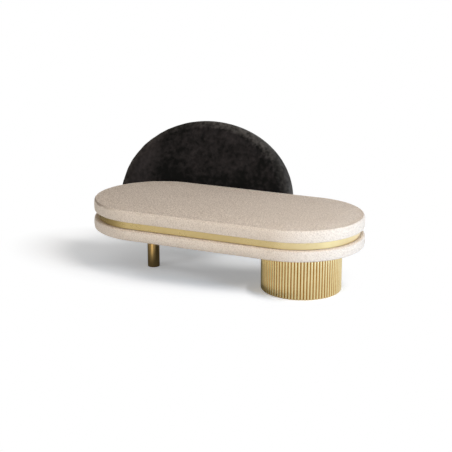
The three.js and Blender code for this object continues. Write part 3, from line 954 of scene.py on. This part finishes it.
class BrassSettings(bpy.types.PropertyGroup):
    brass_colour: colour_setting("Brass colour", "Colour of the satin brass", (0.68, 0.55, 0.265))
    brass_tarnish: colour_setting(
        "Brass tarnish", "Colour of the brass where it has dulled", (0.42, 0.29, 0.11)
    )
    reed_lit_colour: colour_setting(
        "Reed lit colour", "Colour of the reeds' crests, a lighter brass than the band's as painted highlight", (0.73, 0.637, 0.335)
    )
    leg_darkened_colour: colour_setting(
        "Leg darkened colour", "Colour of the leg's brass, darkened as painted shade", (0.39, 0.262, 0.10)
    )
    groove_shade_colour: colour_setting(
        "Groove shade", "Painted shade colour of the brass at the bottom of the grooves", (0.46, 0.22, 0.015)
    )
    roughness_low: share_setting("Low roughness", "Roughness of the shiniest brass", 0.24)
    roughness_high: share_setting("High roughness", "Roughness of the dullest brass", 0.36)
    reed_count: bpy.props.IntProperty(
        name="Reeds", description="Number of reeds round the drum", default=80, min=12
    )
    reed_depth: length_setting(
        "Reed depth", "How far a reed stands out of its groove", 0.0065, 0.001
    )
    reed_gap: length_setting("Groove width", "Width of the flat between two reeds", 0.0012, 0.0005)
    sleeve_wall: length_setting(
        "Sleeve wall", "Thickness of the sleeve under a groove", 0.003, 0.0005
    )
    easing: length_setting("Eased edge", "Radius of the metal's eased edges", 0.0012, 0.0001)


class FrameSettings(bpy.types.PropertyGroup):
    wood_light: colour_setting("Wood", "Colour of the veneer", (0.56, 0.40, 0.22))
    wood_dark: colour_setting(
        "Wood grain", "Colour of the grain and of the glue lines", (0.33, 0.20, 0.09)
    )
    steel_colour: colour_setting(
        "Painted steel", "Colour of the brackets and the leg plate", (0.008, 0.008, 0.009)
    )
    zinc_colour: colour_setting("Zinc", "Colour of the bolts and staples", (0.52, 0.53, 0.55))
    staple_inset: length_setting(
        "Staple inset", "How far the staples lie in from the edge of the lining", 0.009, 0.002
    )
    lining_colour: colour_setting(
        "Lining", "Colour of the cloth under the seat", (0.011, 0.011, 0.011)
    )
    rubber_colour: colour_setting(
        "Rubber", "Colour of the floor pad and the glide", (0.010, 0.010, 0.010)
    )


class StageSettings(bpy.types.PropertyGroup):
    camera_place: place_setting("Camera", "Where the camera stands", (2.8378, -6.1053, 2.1944))
    camera_target: place_setting(
        "Target", "The point that the camera looks at", (0.05565, -0.13528, 0.31798)
    )
    lens: bpy.props.FloatProperty(
        name="Lens", description="Focal length of the camera", unit="CAMERA", default=90.61, min=10
    )
    overhead_level: level_setting(
        "Overhead light", "Level of the lamp above, where 1 shows a colour as written", 0.487
    )
    key_level: level_setting("Key light", "Level of the low lamp at the right", 0.5)
    fill_level: level_setting("Fill light", "Level of the lamp at the front left", 0.213)
    sky_level: level_setting("Room light", "Level of the light from all round", 0.32)
    floor_tone: share_setting("Floor tone", "Grey of the floor as the object sees it", 0.75)
    floor_lift: level_setting(
        "Floor lift", "Tone of the floor as the camera sees it, before shadow", 0.97
    )
    shadow_lift: share_setting(
        "Shadow lift", "Tone of the floor in its deepest shadow, as the camera sees it", 0.245
    )


# Operators


class DressSeat(bpy.types.Operator):
    """Makes the upper and the lower seat cushion in looped cloth"""

    bl_idname = "recamier.dress_seat"
    bl_label = "Seat cushions"

    def cushion(self, settings, material, name, low, high, top_edge, board_width, depth, firm):
        """A cushion with a pocket for its board in its underside. A firm one keeps its top flat."""
        bm = bmesh.new()
        bm.verts.layers.int.new("seam")
        bulge = 0.0025
        rim_width, lip_width, foot_height = 0.012, 0.004, 0.002
        low_edge = settings.low_edge
        pocket = (SEAT_WIDTH - board_width) / 2
        middle = (low + high) / 2
        upper = seat_outline(bm, SEAT_LENGTH, SEAT_WIDTH, middle)
        lower = twin(bm, upper)
        up = high - middle
        down = middle - low
        shoulder = rounded(bulge, up - top_edge, top_edge, top_edge, 8)
        side = (bulge * 0.4, (up - top_edge) * 0.5)
        rim = (shoulder[-1][0] + rim_width, up)
        upper = sewn_edge(bm, upper, side, shoulder, 3, rim)
        grid_cap(bm, upper, seat_rails(upper))
        foot = rounded(bulge, down - low_edge, low_edge, low_edge, 6)
        side = (bulge * 0.4, (down - low_edge) * 0.5)
        mouth = [(pocket - lip_width, down), (pocket, down), (pocket + STRAIGHT, down - depth)]
        lower = sewn_edge(bm, lower, side, foot, 2, *mouth)
        grid_cap(bm, lower, seat_rails(lower))
        close(bm)
        made = new_piece(name + "_cover", bm, material, [name])
        hold(
            made,
            lambda co: co.z < low + foot_height
            or abs(co.z - low - depth) < NEAR
            or (firm and co.z > high - NEAR),
        )
        fill_out(made, settings.pressure, settings.crown)
        sew(made, settings.seam_depth)
        soften(made)

    def execute(self, context):
        settings = context.scene.recamier_seat
        cloth = looped_cloth_material(settings)
        upper_top = UPPER_HIGH.z - settings.crown
        deck = (DECK_HIGH.y - DECK_LOW.y, DECK_HIGH.z - DECK_LOW.z + CLEARANCE)
        base = (BASE_HIGH.y - BASE_LOW.y, BASE_HIGH.z - LOWER_LOW.z)
        for name, low, high, top_edge, board, firm in (
            ("upper_cushion", UPPER_LOW.z, upper_top, settings.top_edge, deck, False),
            ("lower_cushion", LOWER_LOW.z, LOWER_HIGH.z, settings.low_edge, base, True),
        ):
            self.cushion(settings, cloth, name, low, high, top_edge, *board, firm)
        return {"FINISHED"}


class DressBack(bpy.types.Operator):
    """Makes the half-moon back and its rear panel in crushed velvet"""

    bl_idname = "recamier.dress_back"
    bl_label = "Back"

    def stand(self, bm, name, material, pressure, crown, fill, least, most):
        """Stands a cover up and fills it out, and pins it between two heights of the flat back."""
        close(bm)
        bmesh.ops.transform(bm, matrix=BACK_STAND, verts=bm.verts)
        made = new_piece(name + "_cover", bm, material, [name])
        flat = BACK_STAND.inverted()
        hold(made, lambda co: least < (flat @ co).z < most)
        fill_out(made, pressure, crown)
        soften(made)
        return made

    def front(self, settings, material):
        bm = bmesh.new()
        bm.verts.layers.int.new("seam")
        bulge = 0.002
        roll_up, roll_across = 0.031, 0.060
        heel_up, heel_across = 0.024, 0.022
        front = 0.060
        rear = BACK_THICKNESS - front
        seam_step, crown_step = 2, 8
        side_up, side_down, pinned_strip = 0.010, 0.012, 0.010
        half_width = BACK_HALF_WIDTH + settings.rim_loft * 0.6
        height = BACK_HEIGHT + settings.rim_loft
        upper = half_moon(bm, half_width, height, -BACK_CORNER, BACK_CORNER, -front)
        lower = twin(bm, upper)
        edge = rounded(bulge, front - roll_up, roll_across, roll_up, 15)
        upper = sewn_edge(bm, upper, (bulge / 2, side_up), edge[: crown_step + 1], seam_step)
        self.crown(bm, upper, edge[crown_step:])
        grid_cap(bm, upper, moon_rails(upper))
        heel = rounded(bulge, rear - heel_up, heel_across, heel_up, 6)
        lower = rise(bm, lower, [(bulge / 2, side_down), *heel])
        self.pocket(bm, lower)
        pinned = {"least": -math.inf, "most": pinned_strip - BACK_THICKNESS}
        filling = {"pressure": settings.pressure, "crown": settings.crown, "fill": 0.85}
        made = self.stand(bm, "back_cushion", material, **filling, **pinned)
        sew(made, settings.seam_depth)

    def crown(self, bm, face, profile):
        """Goes on with the soft front edge by drawing the outline in towards its middle, which
        keeps the small corners at the base clean.
        """
        share = 0.4
        middle = Matrix.Translation((0, -BACK_HEIGHT * share, 0))
        for (inset, height), (next_inset, next_height) in zip(profile, profile[1:]):
            rise(bm, face, [(STRAIGHT, next_height - height)])
            tall = 1 - (next_inset - inset) / (BACK_HEIGHT * (1 - share))
            wide = 1 - (next_inset - inset) / BACK_HALF_WIDTH
            bmesh.ops.scale(bm, verts=face.verts, vec=(wide, tall, 1), space=middle)

    def pocket(self, bm, face):
        """Lets a pocket for the board and the panel into the rear of the back."""
        half_width = BACK_HALF_WIDTH - BACK_RIM
        height = BACK_HEIGHT - BACK_RIM
        base = BACK_RIM - BACK_CORNER
        corner = half_width * math.sqrt(1 - (base / height) ** 2)
        rise(bm, face, [(STRAIGHT, 0.0)])
        for vert in face.verts:
            turn = math.atan2(vert.co.y / BACK_HEIGHT, vert.co.x / BACK_HALF_WIDTH)
            if height * math.sin(turn) > base:
                vert.co.x = half_width * math.cos(turn)
                vert.co.y = height * math.sin(turn)
            else:
                vert.co.x = max(-corner, min(corner, vert.co.x))
                vert.co.y = base
        bmesh.ops.remove_doubles(bm, verts=face.verts, dist=NEAR)
        face = max(bm.faces, key=lambda f: len(f.verts))
        rise(bm, face, [(STRAIGHT, -POCKET_DEPTH)])
        grid_cap(bm, face, moon_rails(face))

    def panel(self, settings, material):
        bm = bmesh.new()
        inset = BACK_RIM + CLEARANCE
        half_width = BACK_HALF_WIDTH - inset
        height = BACK_HEIGHT - inset
        half = PANEL_THICKNESS / 2
        middle = -(BACK_THICKNESS - PANEL_SETBACK - half)
        corner = 0.014
        roll_up, roll_across = 0.008, 0.010
        face = half_moon(bm, half_width, height, inset - BACK_CORNER, corner, middle)
        other = twin(bm, face)
        front = rise(bm, face, [(STRAIGHT, half)])
        grid_cap(bm, front, moon_rails(front))
        edge = rounded(2 * STRAIGHT, half - roll_up, roll_across, roll_up, 5)
        soft = rise(bm, other, [edge[0], *edge])
        grid_cap(bm, soft, moon_rails(soft))
        pinned = {"least": middle - NEAR, "most": math.inf}
        filling = {"pressure": settings.pressure, "crown": 0.002, "fill": 1.0}
        self.stand(bm, "back_rear_panel", material, **filling, **pinned)

    def execute(self, context):
        settings = context.scene.recamier_back
        velvet = velvet_material(settings)
        self.front(settings, velvet)
        self.panel(settings, velvet)
        return {"FINISHED"}


class DressBand(bpy.types.Operator):
    """Makes the smooth brass band between the two cushions"""

    bl_idname = "recamier.dress_band"
    bl_label = "Brass band"

    def execute(self, context):
        settings = context.scene.recamier_brass
        bm = bmesh.new()
        size = BAND_HIGH - BAND_LOW
        face = seat_outline(bm, size.x, size.y, BAND_LOW.z)
        bmesh.ops.delete(bm, geom=[face], context="FACES_ONLY")
        wall = bmesh.ops.extrude_edge_only(bm, edges=bm.edges[:])["geom"]
        bmesh.ops.translate(bm, verts=verts_of(wall), vec=(0, 0, size.z))
        bmesh.ops.recalc_face_normals(bm, faces=bm.faces)
        bmesh.ops.solidify(bm, geom=bm.faces[:], thickness=BAND_WALL)
        close(bm)
        name = "Satin brass, brushed along"
        brush = (6.0, 6.0, 900.0)
        brass = brass_material(settings, name, settings.brass_colour, brush, coat=0.3)
        made = new_piece("brass_band_ring", bm, brass, ["brass_band"])
        ease(made, BAND_EASING)
        return {"FINISHED"}


class DressDrum(bpy.types.Operator):
    """Makes the reeded brass sleeve of the drum"""

    bl_idname = "recamier.dress_drum"
    bl_label = "Reeded drum"

    def reed_profile(self, bm, outer, groove, depth, settings):
        """One reed seen from above, with the flat that leads to the next."""
        pitch = 2 * math.pi / settings.reed_count
        half_chord = (groove * pitch - settings.reed_gap) / 2
        reed = (half_chord**2 + depth**2) / (2 * depth)
        swing = math.acos((reed - depth) / reed)
        crest = bm.verts.new((outer, 0, 0))
        start = Matrix.Rotation(-swing, 4, "Z")
        axis = Vector((outer - reed, 0, 0))
        bmesh.ops.rotate(bm, verts=[crest], cent=axis, matrix=start)
        bmesh.ops.spin(bm, geom=[crest], cent=axis, axis=(0, 0, 1), angle=2 * swing, steps=8)
        ends = sorted(bm.verts, key=lambda v: v.co.y)
        last = bm.verts.new(Matrix.Rotation(pitch, 3, "Z") @ ends[0].co)
        bm.edges.new((ends[-1], last))

    def draw_in(self, verts, groove, depth, amount):
        """Draws points of a reed in towards its groove, more at its crest."""
        for vert in verts:
            out = math.hypot(vert.co.x, vert.co.y)
            share = amount * max(0.0, out - groove) / depth
            vert.co.x *= 1 - share / out
            vert.co.y *= 1 - share / out

    def inner_wall(self, bm, radius):
        """Closes the sleeve with two flat rims and a plain wall inside."""
        rim = [e for e in bm.edges if e.is_boundary]
        for vert in verts_of(bmesh.ops.extrude_edge_only(bm, edges=rim)["geom"]):
            out = math.hypot(vert.co.x, vert.co.y)
            vert.co.x *= radius / out
            vert.co.y *= radius / out
        bmesh.ops.bridge_loops(bm, edges=[e for e in bm.edges if e.is_boundary])

    def execute(self, context):
        settings = context.scene.recamier_brass
        bm = bmesh.new()
        outer = (SLEEVE_HIGH.x - SLEEVE_LOW.x) / 2
        depth = settings.reed_depth
        groove = outer - depth
        self.reed_profile(bm, outer, groove, depth, settings)
        lip = settings.easing
        tall = SLEEVE_HIGH.z - SLEEVE_LOW.z
        heights = [0.0, lip, 2 * lip, tall * 0.5, tall - 2 * lip, tall - lip, tall]
        drawn = [lip * 1.2, lip * 0.35, 0.0, 0.0, 0.0, lip * 0.35, lip * 1.2]
        self.draw_in(bm.verts, groove, depth, drawn[0])
        edges = bm.edges[:]
        for i in range(1, len(heights)):
            made = bmesh.ops.extrude_edge_only(bm, edges=edges)["geom"]
            row = verts_of(made)
            edges = [g for g in made if isinstance(g, bmesh.types.BMEdge)]
            edges = [e for e in edges if all(v in row for v in e.verts)]
            bmesh.ops.translate(bm, verts=row, vec=(0, 0, heights[i] - heights[i - 1]))
            self.draw_in(row, groove, depth, drawn[i] - drawn[i - 1])
        bmesh.ops.spin(
            bm,
            geom=bm.verts[:] + bm.edges[:] + bm.faces[:],
            cent=(0, 0, 0),
            axis=(0, 0, 1),
            angle=2 * math.pi * (1 - 1 / settings.reed_count),
            steps=settings.reed_count - 1,
            use_duplicate=True,
        )
        bmesh.ops.remove_doubles(bm, verts=bm.verts, dist=0.00002)
        self.inner_wall(bm, groove - settings.sleeve_wall)
        close(bm)
        place = (SLEEVE_MIDDLE.x, SLEEVE_MIDDLE.y, SLEEVE_LOW.z)
        bmesh.ops.translate(bm, verts=bm.verts, vec=place)
        # Painted highlight: the reeds take a lighter, paler copy of the brass than the band.
        name = "Satin brass, reeds"
        brass = brass_material(settings, name, settings.reed_lit_colour, (700.0, 700.0, 9.0), 0.08)
        paint_groove_shade(settings, brass, groove, depth)
        made = new_piece("drum_reeds", bm, brass, ["reeded_sleeve"])
        made.data.set_sharp_from_angle(angle=math.radians(40))
        return {"FINISHED"}


class DressLeg(bpy.types.Operator):
    """Makes the round brass leg"""

    bl_idname = "recamier.dress_leg"
    bl_label = "Leg"

    def execute(self, context):
        settings = context.scene.recamier_brass
        bm = bmesh.new()
        radius = (LEG_HIGH.x - LEG_LOW.x) / 2
        bmesh.ops.create_cone(
            bm,
            segments=64,
            radius1=radius,
            radius2=radius,
            depth=LEG_HIGH.z - LEG_LOW.z,
            cap_ends=False,
            matrix=Matrix.Translation((LEG_LOW + LEG_HIGH) / 2),
        )
        bmesh.ops.recalc_face_normals(bm, faces=bm.faces)
        bmesh.ops.solidify(bm, geom=bm.faces[:], thickness=LEG_WALL)
        close(bm)
        # Painted shade: the leg takes a darker copy of the brass.
        name = "Brass darkened as painted shade, brushed round"
        brass = brass_material(settings, name, settings.leg_darkened_colour, (40.0, 40.0, 1100.0), 0.09)
        made = new_piece("leg_shaft", bm, brass, ["leg_tube"])
        ease(made, settings.easing)
        return {"FINISHED"}


class DressFastenings(bpy.types.Operator):
    """Makes the brackets, the leg plate, their bolts and the staples under the seat"""

    bl_idname = "recamier.dress_fastenings"
    bl_label = "Fastenings"

    wire = 0.0011

    def eased_copy(self, name, finish):
        """A merged copy of a node with eased edges."""
        bm = bmesh.new()
        bm.from_mesh(frame["nodes"][name].data)
        close(bm)
        bmesh.ops.dissolve_limit(bm, angle_limit=0.02, verts=bm.verts, edges=bm.edges)
        made = new_piece(name + "_bar", bm, finish, [name], smooth=False)
        ease(made, BAR_EASING)

    def bolts(self, name, nodes, finish, head_height, shank_radius, socket):
        """Bolts that stand head down, each with a six-sided socket in its head."""
        bm = bmesh.new()
        low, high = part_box(nodes[0])
        head_radius = (high.x - low.x) / 2
        soft = 0.0008
        socket_depth = head_height * 0.6
        bmesh.ops.create_circle(bm, segments=24, radius=head_radius, cap_ends=True)
        upper = bm.faces[:][0]
        lower = twin(bm, upper)
        step = head_radius - shank_radius
        rise(bm, upper, [(STRAIGHT, head_height - soft), (step, head_height - soft)])
        rise(bm, upper, [(STRAIGHT, high.z - low.z - head_height)])
        edge = rounded(0.0, 0.0, soft, soft, 3)[1:]
        lower = rise(bm, lower, [*edge, (head_radius - socket, soft)])
        for vert in lower.verts:
            turn = math.atan2(vert.co.y, vert.co.x) % (math.pi / 3) - math.pi / 6
            vert.co.xy *= math.cos(math.pi / 6) / math.cos(turn)
        rise(bm, lower, [(STRAIGHT, -socket_depth)])
        places = [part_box(node) for node in nodes]
        middles = [((a.x + b.x) / 2, (a.y + b.y) / 2, a.z + soft) for a, b in places]
        repeat(bm, [Matrix.Translation(middle) for middle in middles])
        new_piece(name, bm, finish, nodes, smooth=False)

    def staple(self, bm, width, wire, leg):
        """A staple with its crown down: a leg, a bend, the crown, a bend and a leg."""
        bmesh.ops.create_grid(bm, x_segments=1, y_segments=1, size=wire / 2)
        bmesh.ops.translate(bm, verts=bm.verts, vec=(-width / 2, 0, leg))
        face = bm.faces[:][0]
        down, along, up = (0, 0, wire - leg), (width - 2 * wire, 0, 0), (0, 0, leg - wire)
        for bend, way in ((-1, down), (1, along), (0, up)):
            face = face_of(bmesh.ops.extrude_face_region(bm, geom=[face])["geom"])
            bmesh.ops.translate(bm, verts=face.verts, vec=way)
            if bend:
                centre = (bend * (width / 2 - wire), 0, wire)
                last = bmesh.ops.spin(
                    bm, geom=[face], cent=centre, axis=(0, -1, 0), angle=math.pi / 2, steps=3
                )["geom_last"]
                face = face_of(last)

    def staples(self, settings, finish):
        """Staples along the lining's edge, one at every fourth point of its outline."""
        bm = bmesh.new()
        size = LINING_HIGH - LINING_LOW
        margin = 2 * settings.staple_inset
        sunk = 0.0005
        level = LINING_LOW.z + sunk - self.wire
        verts = seat_outline(bm, size.x - margin, size.y - margin, level).verts[:]
        places = []
        for i in range(0, len(verts), 4):
            way = verts[(i + 1) % len(verts)].co - verts[i].co
            turn = Matrix.Rotation(math.atan2(way.y, way.x), 4, "Z")
            places.append(Matrix.Translation(verts[i].co) @ turn)
        bm.clear()
        self.staple(bm, width=0.010, wire=self.wire, leg=0.006)
        repeat(bm, places)
        new_piece("lining_staples", bm, finish, [])

    def execute(self, context):
        settings = context.scene.recamier_frame
        steel = steel_material(settings)
        zinc = zinc_material(settings)
        for name in ("left_bracket", "right_bracket", "leg_plate"):
            self.eased_copy(name, steel)
        brackets = [f"{side}_bracket_bolt_{i}" for side in ("left", "right") for i in (1, 2, 3)]
        sizes = {"head_height": 0.005, "shank_radius": 0.004, "socket": 0.0038}
        self.bolts("bracket_socket_bolts", brackets, zinc, **sizes)
        screws = [f"leg_screw_{i}" for i in (1, 2, 3, 4)]
        sizes = {"head_height": 0.003, "shank_radius": 0.0025, "socket": 0.0028}
        self.bolts("leg_socket_screws", screws, zinc, **sizes)
        self.staples(settings, zinc)
        return {"FINISHED"}


class FinishFrame(bpy.types.Operator):
    """Gives the boards, steel, lining and rubber of the frame their finishes"""

    bl_idname = "recamier.finish_frame"
    bl_label = "Frame finishes"

    def execute(self, context):
        settings = context.scene.recamier_frame
        ready = bpy.data.materials
        finishes = {
            "zinc_steel": ready.get("Zinc plated steel") or zinc_material(settings),
            "black_steel": ready.get("Black painted steel") or steel_material(settings),
            "lining": lining_material(settings),
            "rubber": rubber_material(settings),
            "plywood": wood_material(settings, "Layered board"),
        }
        for part in frame["record"]["subparts"]:
            if part["material_slot"] in finishes:
                dress_node(part["node"], finishes[part["material_slot"]])
        dress_node("back_core_board", wood_material(settings, "Layered board, back", -BACK_TURN))
        return {"FINISHED"}


class SetStage(bpy.types.Operator):
    """Sets up the floor, the lamps, the room light and the camera"""

    bl_idname = "recamier.set_stage"
    bl_label = "Studio"

    def looked_at(self, tree, path):
        """1 where the camera, a mirror or a glass looks straight at a surface."""
        rays = ("Is Camera Ray", "Is Glossy Ray", "Is Transmission Ray")
        camera, glossy, through = (path[ray] for ray in rays)
        return maths(tree, "MAXIMUM", maths(tree, "MAXIMUM", camera, glossy), through)

    def glow(self, tree, glossy, mirrored, side, low, high):
        """Plain white, or the tone and the tint that metal mirrors, cooler to one side."""
        tint = blend_colours(tree, remap(tree, side, low, high), WARM, COOL)
        tint = blend_colours(tree, glossy, WHITE, tint)
        return {"Color": tint, "Strength": blend(tree, glossy, 1.0, mirrored)}

    def beyond(self, tree, where, shift, size, start, end):
        """Goes from 0 inside an ellipse on the floor to 1 outside it."""
        inputs = {
            "Vector": where,
            "Location": (shift[0] / size[0], shift[1] / size[1], 0),
            "Scale": (1 / size[0], 1 / size[1], 0),
        }
        far = vectors(tree, "LENGTH", add(tree, "Mapping", inputs).outputs[0])
        inputs = {0: far, 1: start, 2: end}
        return add(tree, "MapRange", inputs, interpolation_type="SMOOTHSTEP").outputs[0]

    def pooled(self, tree, where, value, pools, start):
        """A value with the gain of each pool added inside it."""
        for shift, size, gain in pools:
            outside = self.beyond(tree, where, shift, size, start, 1.3)
            value = plus(tree, value, scaled(tree, outside, -gain, gain))
        return value

    def near_floor(self, tree, where, path, settings):
        """The floor beside the object: a matt one that keeps its shadow, lifted by a painted glow
        and painted pools of light that only the camera sees.
        """
        swing = 0.01
        least, most = settings.floor_tone - swing, settings.floor_tone + swing
        tone = remap(tree, noise(tree, where, 40.0, 4.0, 0.6), 0.2, 0.8, least, most)
        seen = times(tree, tone, settings.floor_lift / settings.floor_tone)
        shown = blend(tree, path["Is Camera Ray"], tone, seen)
        matt = add(tree, "BsdfDiffuse", {"Color": shown}).outputs[0]
        # Painted light: a glow seen only by the camera lifts the floor's shadow, more inside each
        # pool.
        lit = self.pooled(tree, where, settings.shadow_lift, PAINTED_LIGHT_POOLS, 0.2)
        painted_glow = {"Color": WHITE, "Strength": times(tree, path["Is Camera Ray"], lit)}
        painted_glow = add(tree, "Emission", painted_glow).outputs[0]
        return add(tree, "AddShader", {0: matt, 1: painted_glow}).outputs[0]

    def far_floor(self, tree, where, glossy):
        """The floor away from the object: white to the camera, and patchy in what metal mirrors."""
        side = vectors(tree, "DOT_PRODUCT", where, (0.90, -0.20, 0.0))
        rear = vectors(tree, "DOT_PRODUCT", where, (0.50, 0.60, 0.0))
        mirrored = ramped(
            tree,
            plus,
            remap(tree, side, -2.5, -1.2, 0.0, 0.47),
            (side, -1.2, 0.6, 0.0, 0.38),
            (side, 0.32, 1.15, 0.0, 0.30),
            (side, 1.15, 2.3, 0.0, 0.04),
            (rear, -0.2, 0.5, 0.0, 0.09),
            (rear, 0.5, 0.85, 0.0, -0.17),
            (rear, 0.95, 1.35, 0.0, 0.42),
        )
        mirrored = self.pooled(tree, where, mirrored, MIRROR_POOLS, 0.3)
        glow = self.glow(tree, glossy, mirrored, side, -1.3, 1.9)
        return add(tree, "Emission", glow).outputs[0]

    def away(self, tree, where, glossy):
        """0 on the floor round the object and 1 away from it. Metal sees the floor to the right of
        the drum as away.
        """
        shift = (0.05 - SLEEVE_MIDDLE.x, -SLEEVE_MIDDLE.y)
        drum = self.beyond(tree, where, shift, (1.0, 1.0), 0.26, 0.35)
        east = remap(tree, axes(tree, where)[0], 0.48, 0.72)
        drum = maths(tree, "MAXIMUM", drum, times(tree, glossy, east))
        clear = self.beyond(tree, where, (0.40, -0.04), (1.0, 0.54), 0.71, 1.24)
        return maths(tree, "MINIMUM", clear, drum)

    def floor(self, settings):
        bm = bmesh.new()
        bmesh.ops.create_circle(bm, segments=96, radius=60.0, cap_ends=True)
        mesh = bpy.data.meshes.new("floor")
        bm.to_mesh(mesh)
        bm.free()
        made = new_object("floor", mesh)
        material = bpy.data.materials.new("Pale floor")
        material.use_nodes = True
        tree = material.node_tree
        tree.nodes.clear()
        where = add(tree, "TexCoord").outputs["Object"]
        path = add(tree, "LightPath").outputs
        glossy = path["Is Glossy Ray"]
        share = times(tree, self.away(tree, where, glossy), self.looked_at(tree, path))
        near = self.near_floor(tree, where, path, settings)
        far = self.far_floor(tree, where, glossy)
        surface = add(tree, "MixShader", {0: share, 1: near, 2: far}).outputs[0]
        add(tree, "OutputMaterial", {"Surface": surface})
        mesh.materials.append(material)

    def room(self, settings):
        """Even light from all round, and a white room to look at, brighter to the right."""
        world = bpy.data.worlds.new("Room")
        bpy.context.scene.world = world
        world.use_nodes = True
        tree = world.node_tree
        tree.nodes.clear()
        path = add(tree, "LightPath").outputs
        plain = add(tree, "Background", {"Color": WHITE, "Strength": settings.sky_level})
        way = add(tree, "TexCoord").outputs["Generated"]
        side = vectors(tree, "DOT_PRODUCT", way, (0.8, -0.55, 0.2))
        mirrored = remap(tree, side, -0.8, 0.8, 0.15, 1.1)
        glow = self.glow(tree, path["Is Glossy Ray"], mirrored, side, -0.8, 1.1)
        seen = add(tree, "Background", glow)
        share = self.looked_at(tree, path)
        surface = add(tree, "MixShader", {0: share, 1: plain.outputs[0], 2: seen.outputs[0]})
        add(tree, "OutputWorld", {"Surface": surface.outputs[0]})

    def stand(self, name, data, place, target):
        """Stands a lamp or the camera at a place and points it at a target."""
        made = new_object(name, data)
        made.location = place
        way = Vector(target) - Vector(place)
        made.rotation_euler = way.to_track_quat("-Z", "Y").to_euler()
        return made

    def lamp(self, name, place, size, level, tint):
        """A square lamp. A level of 1 shows a colour about as written."""
        target = (0.1, -0.1, 0.35)
        data = bpy.data.lights.new(name, "AREA")
        data.shape = "SQUARE"
        data.size = size
        data.energy = level * math.pi**2 * (Vector(target) - Vector(place)).length_squared
        data.color = tint
        self.stand(name, data, place, target)

    def execute(self, context):
        scene = context.scene
        settings = scene.recamier_stage
        self.floor(settings)
        self.room(settings)
        for name, place, size, level, tint in (
            ("overhead", (2.3, -2.0, 3.5), 1.6, settings.overhead_level, (1.048, 0.996, 0.95)),
            ("key", (5.0, -0.95, 1.15), 1.8, settings.key_level, (0.785, 1.055, 1.425)),
            ("fill", (-3.0, -4.3, 1.0), 1.6, settings.fill_level, (0.96, 1.0, 1.04)),
        ):
            self.lamp(name, place, size, level, tint)
        scene.view_settings.view_transform = "Standard"
        data = bpy.data.cameras.new("camera")
        data.lens = settings.lens
        data.sensor_width = 36.0
        scene.camera = self.stand("camera", data, settings.camera_place, settings.camera_target)
        return {"FINISHED"}


class RecamierPanel(bpy.types.Panel):
    """Lists the recamier's pieces and their sizes and colours"""

    bl_idname = "VIEW3D_PT_recamier"
    bl_label = "Recamier"
    bl_space_type = "VIEW_3D"
    bl_region_type = "UI"
    bl_category = "Recamier"

    def draw(self, context):
        for name, operators in STEPS:
            box = self.layout.box()
            for operator in operators:
                box.operator(operator.bl_idname)
            settings = getattr(context.scene, name)
            for label in settings.__annotations__:
                box.prop(settings, label)


SETTINGS = {
    "recamier_seat": SeatSettings,
    "recamier_back": BackSettings,
    "recamier_brass": BrassSettings,
    "recamier_frame": FrameSettings,
    "recamier_stage": StageSettings,
}
STEPS = (
    ("recamier_seat", (DressSeat,)),
    ("recamier_back", (DressBack,)),
    ("recamier_brass", (DressBand, DressDrum, DressLeg)),
    ("recamier_frame", (DressFastenings, FinishFrame)),
    ("recamier_stage", (SetStage,)),
)
CLASSES = (
    *SETTINGS.values(),
    *(operator for _, operators in STEPS for operator in operators),
    RecamierPanel,
)


def register():
    for made in CLASSES:
        bpy.utils.register_class(made)
    for name, settings in SETTINGS.items():
        setattr(bpy.types.Scene, name, bpy.props.PointerProperty(type=settings))


def unregister():
    for name in SETTINGS:
        delattr(bpy.types.Scene, name)
    for made in reversed(CLASSES):
        bpy.utils.unregister_class(made)


def main():
    """Registers the add-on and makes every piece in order."""
    register()
    for _, operators in STEPS:
        for operator in operators:
            group_name, name = operator.bl_idname.split(".")
            getattr(getattr(bpy.ops, group_name), name)()


if __name__ == "__main__":
    main()
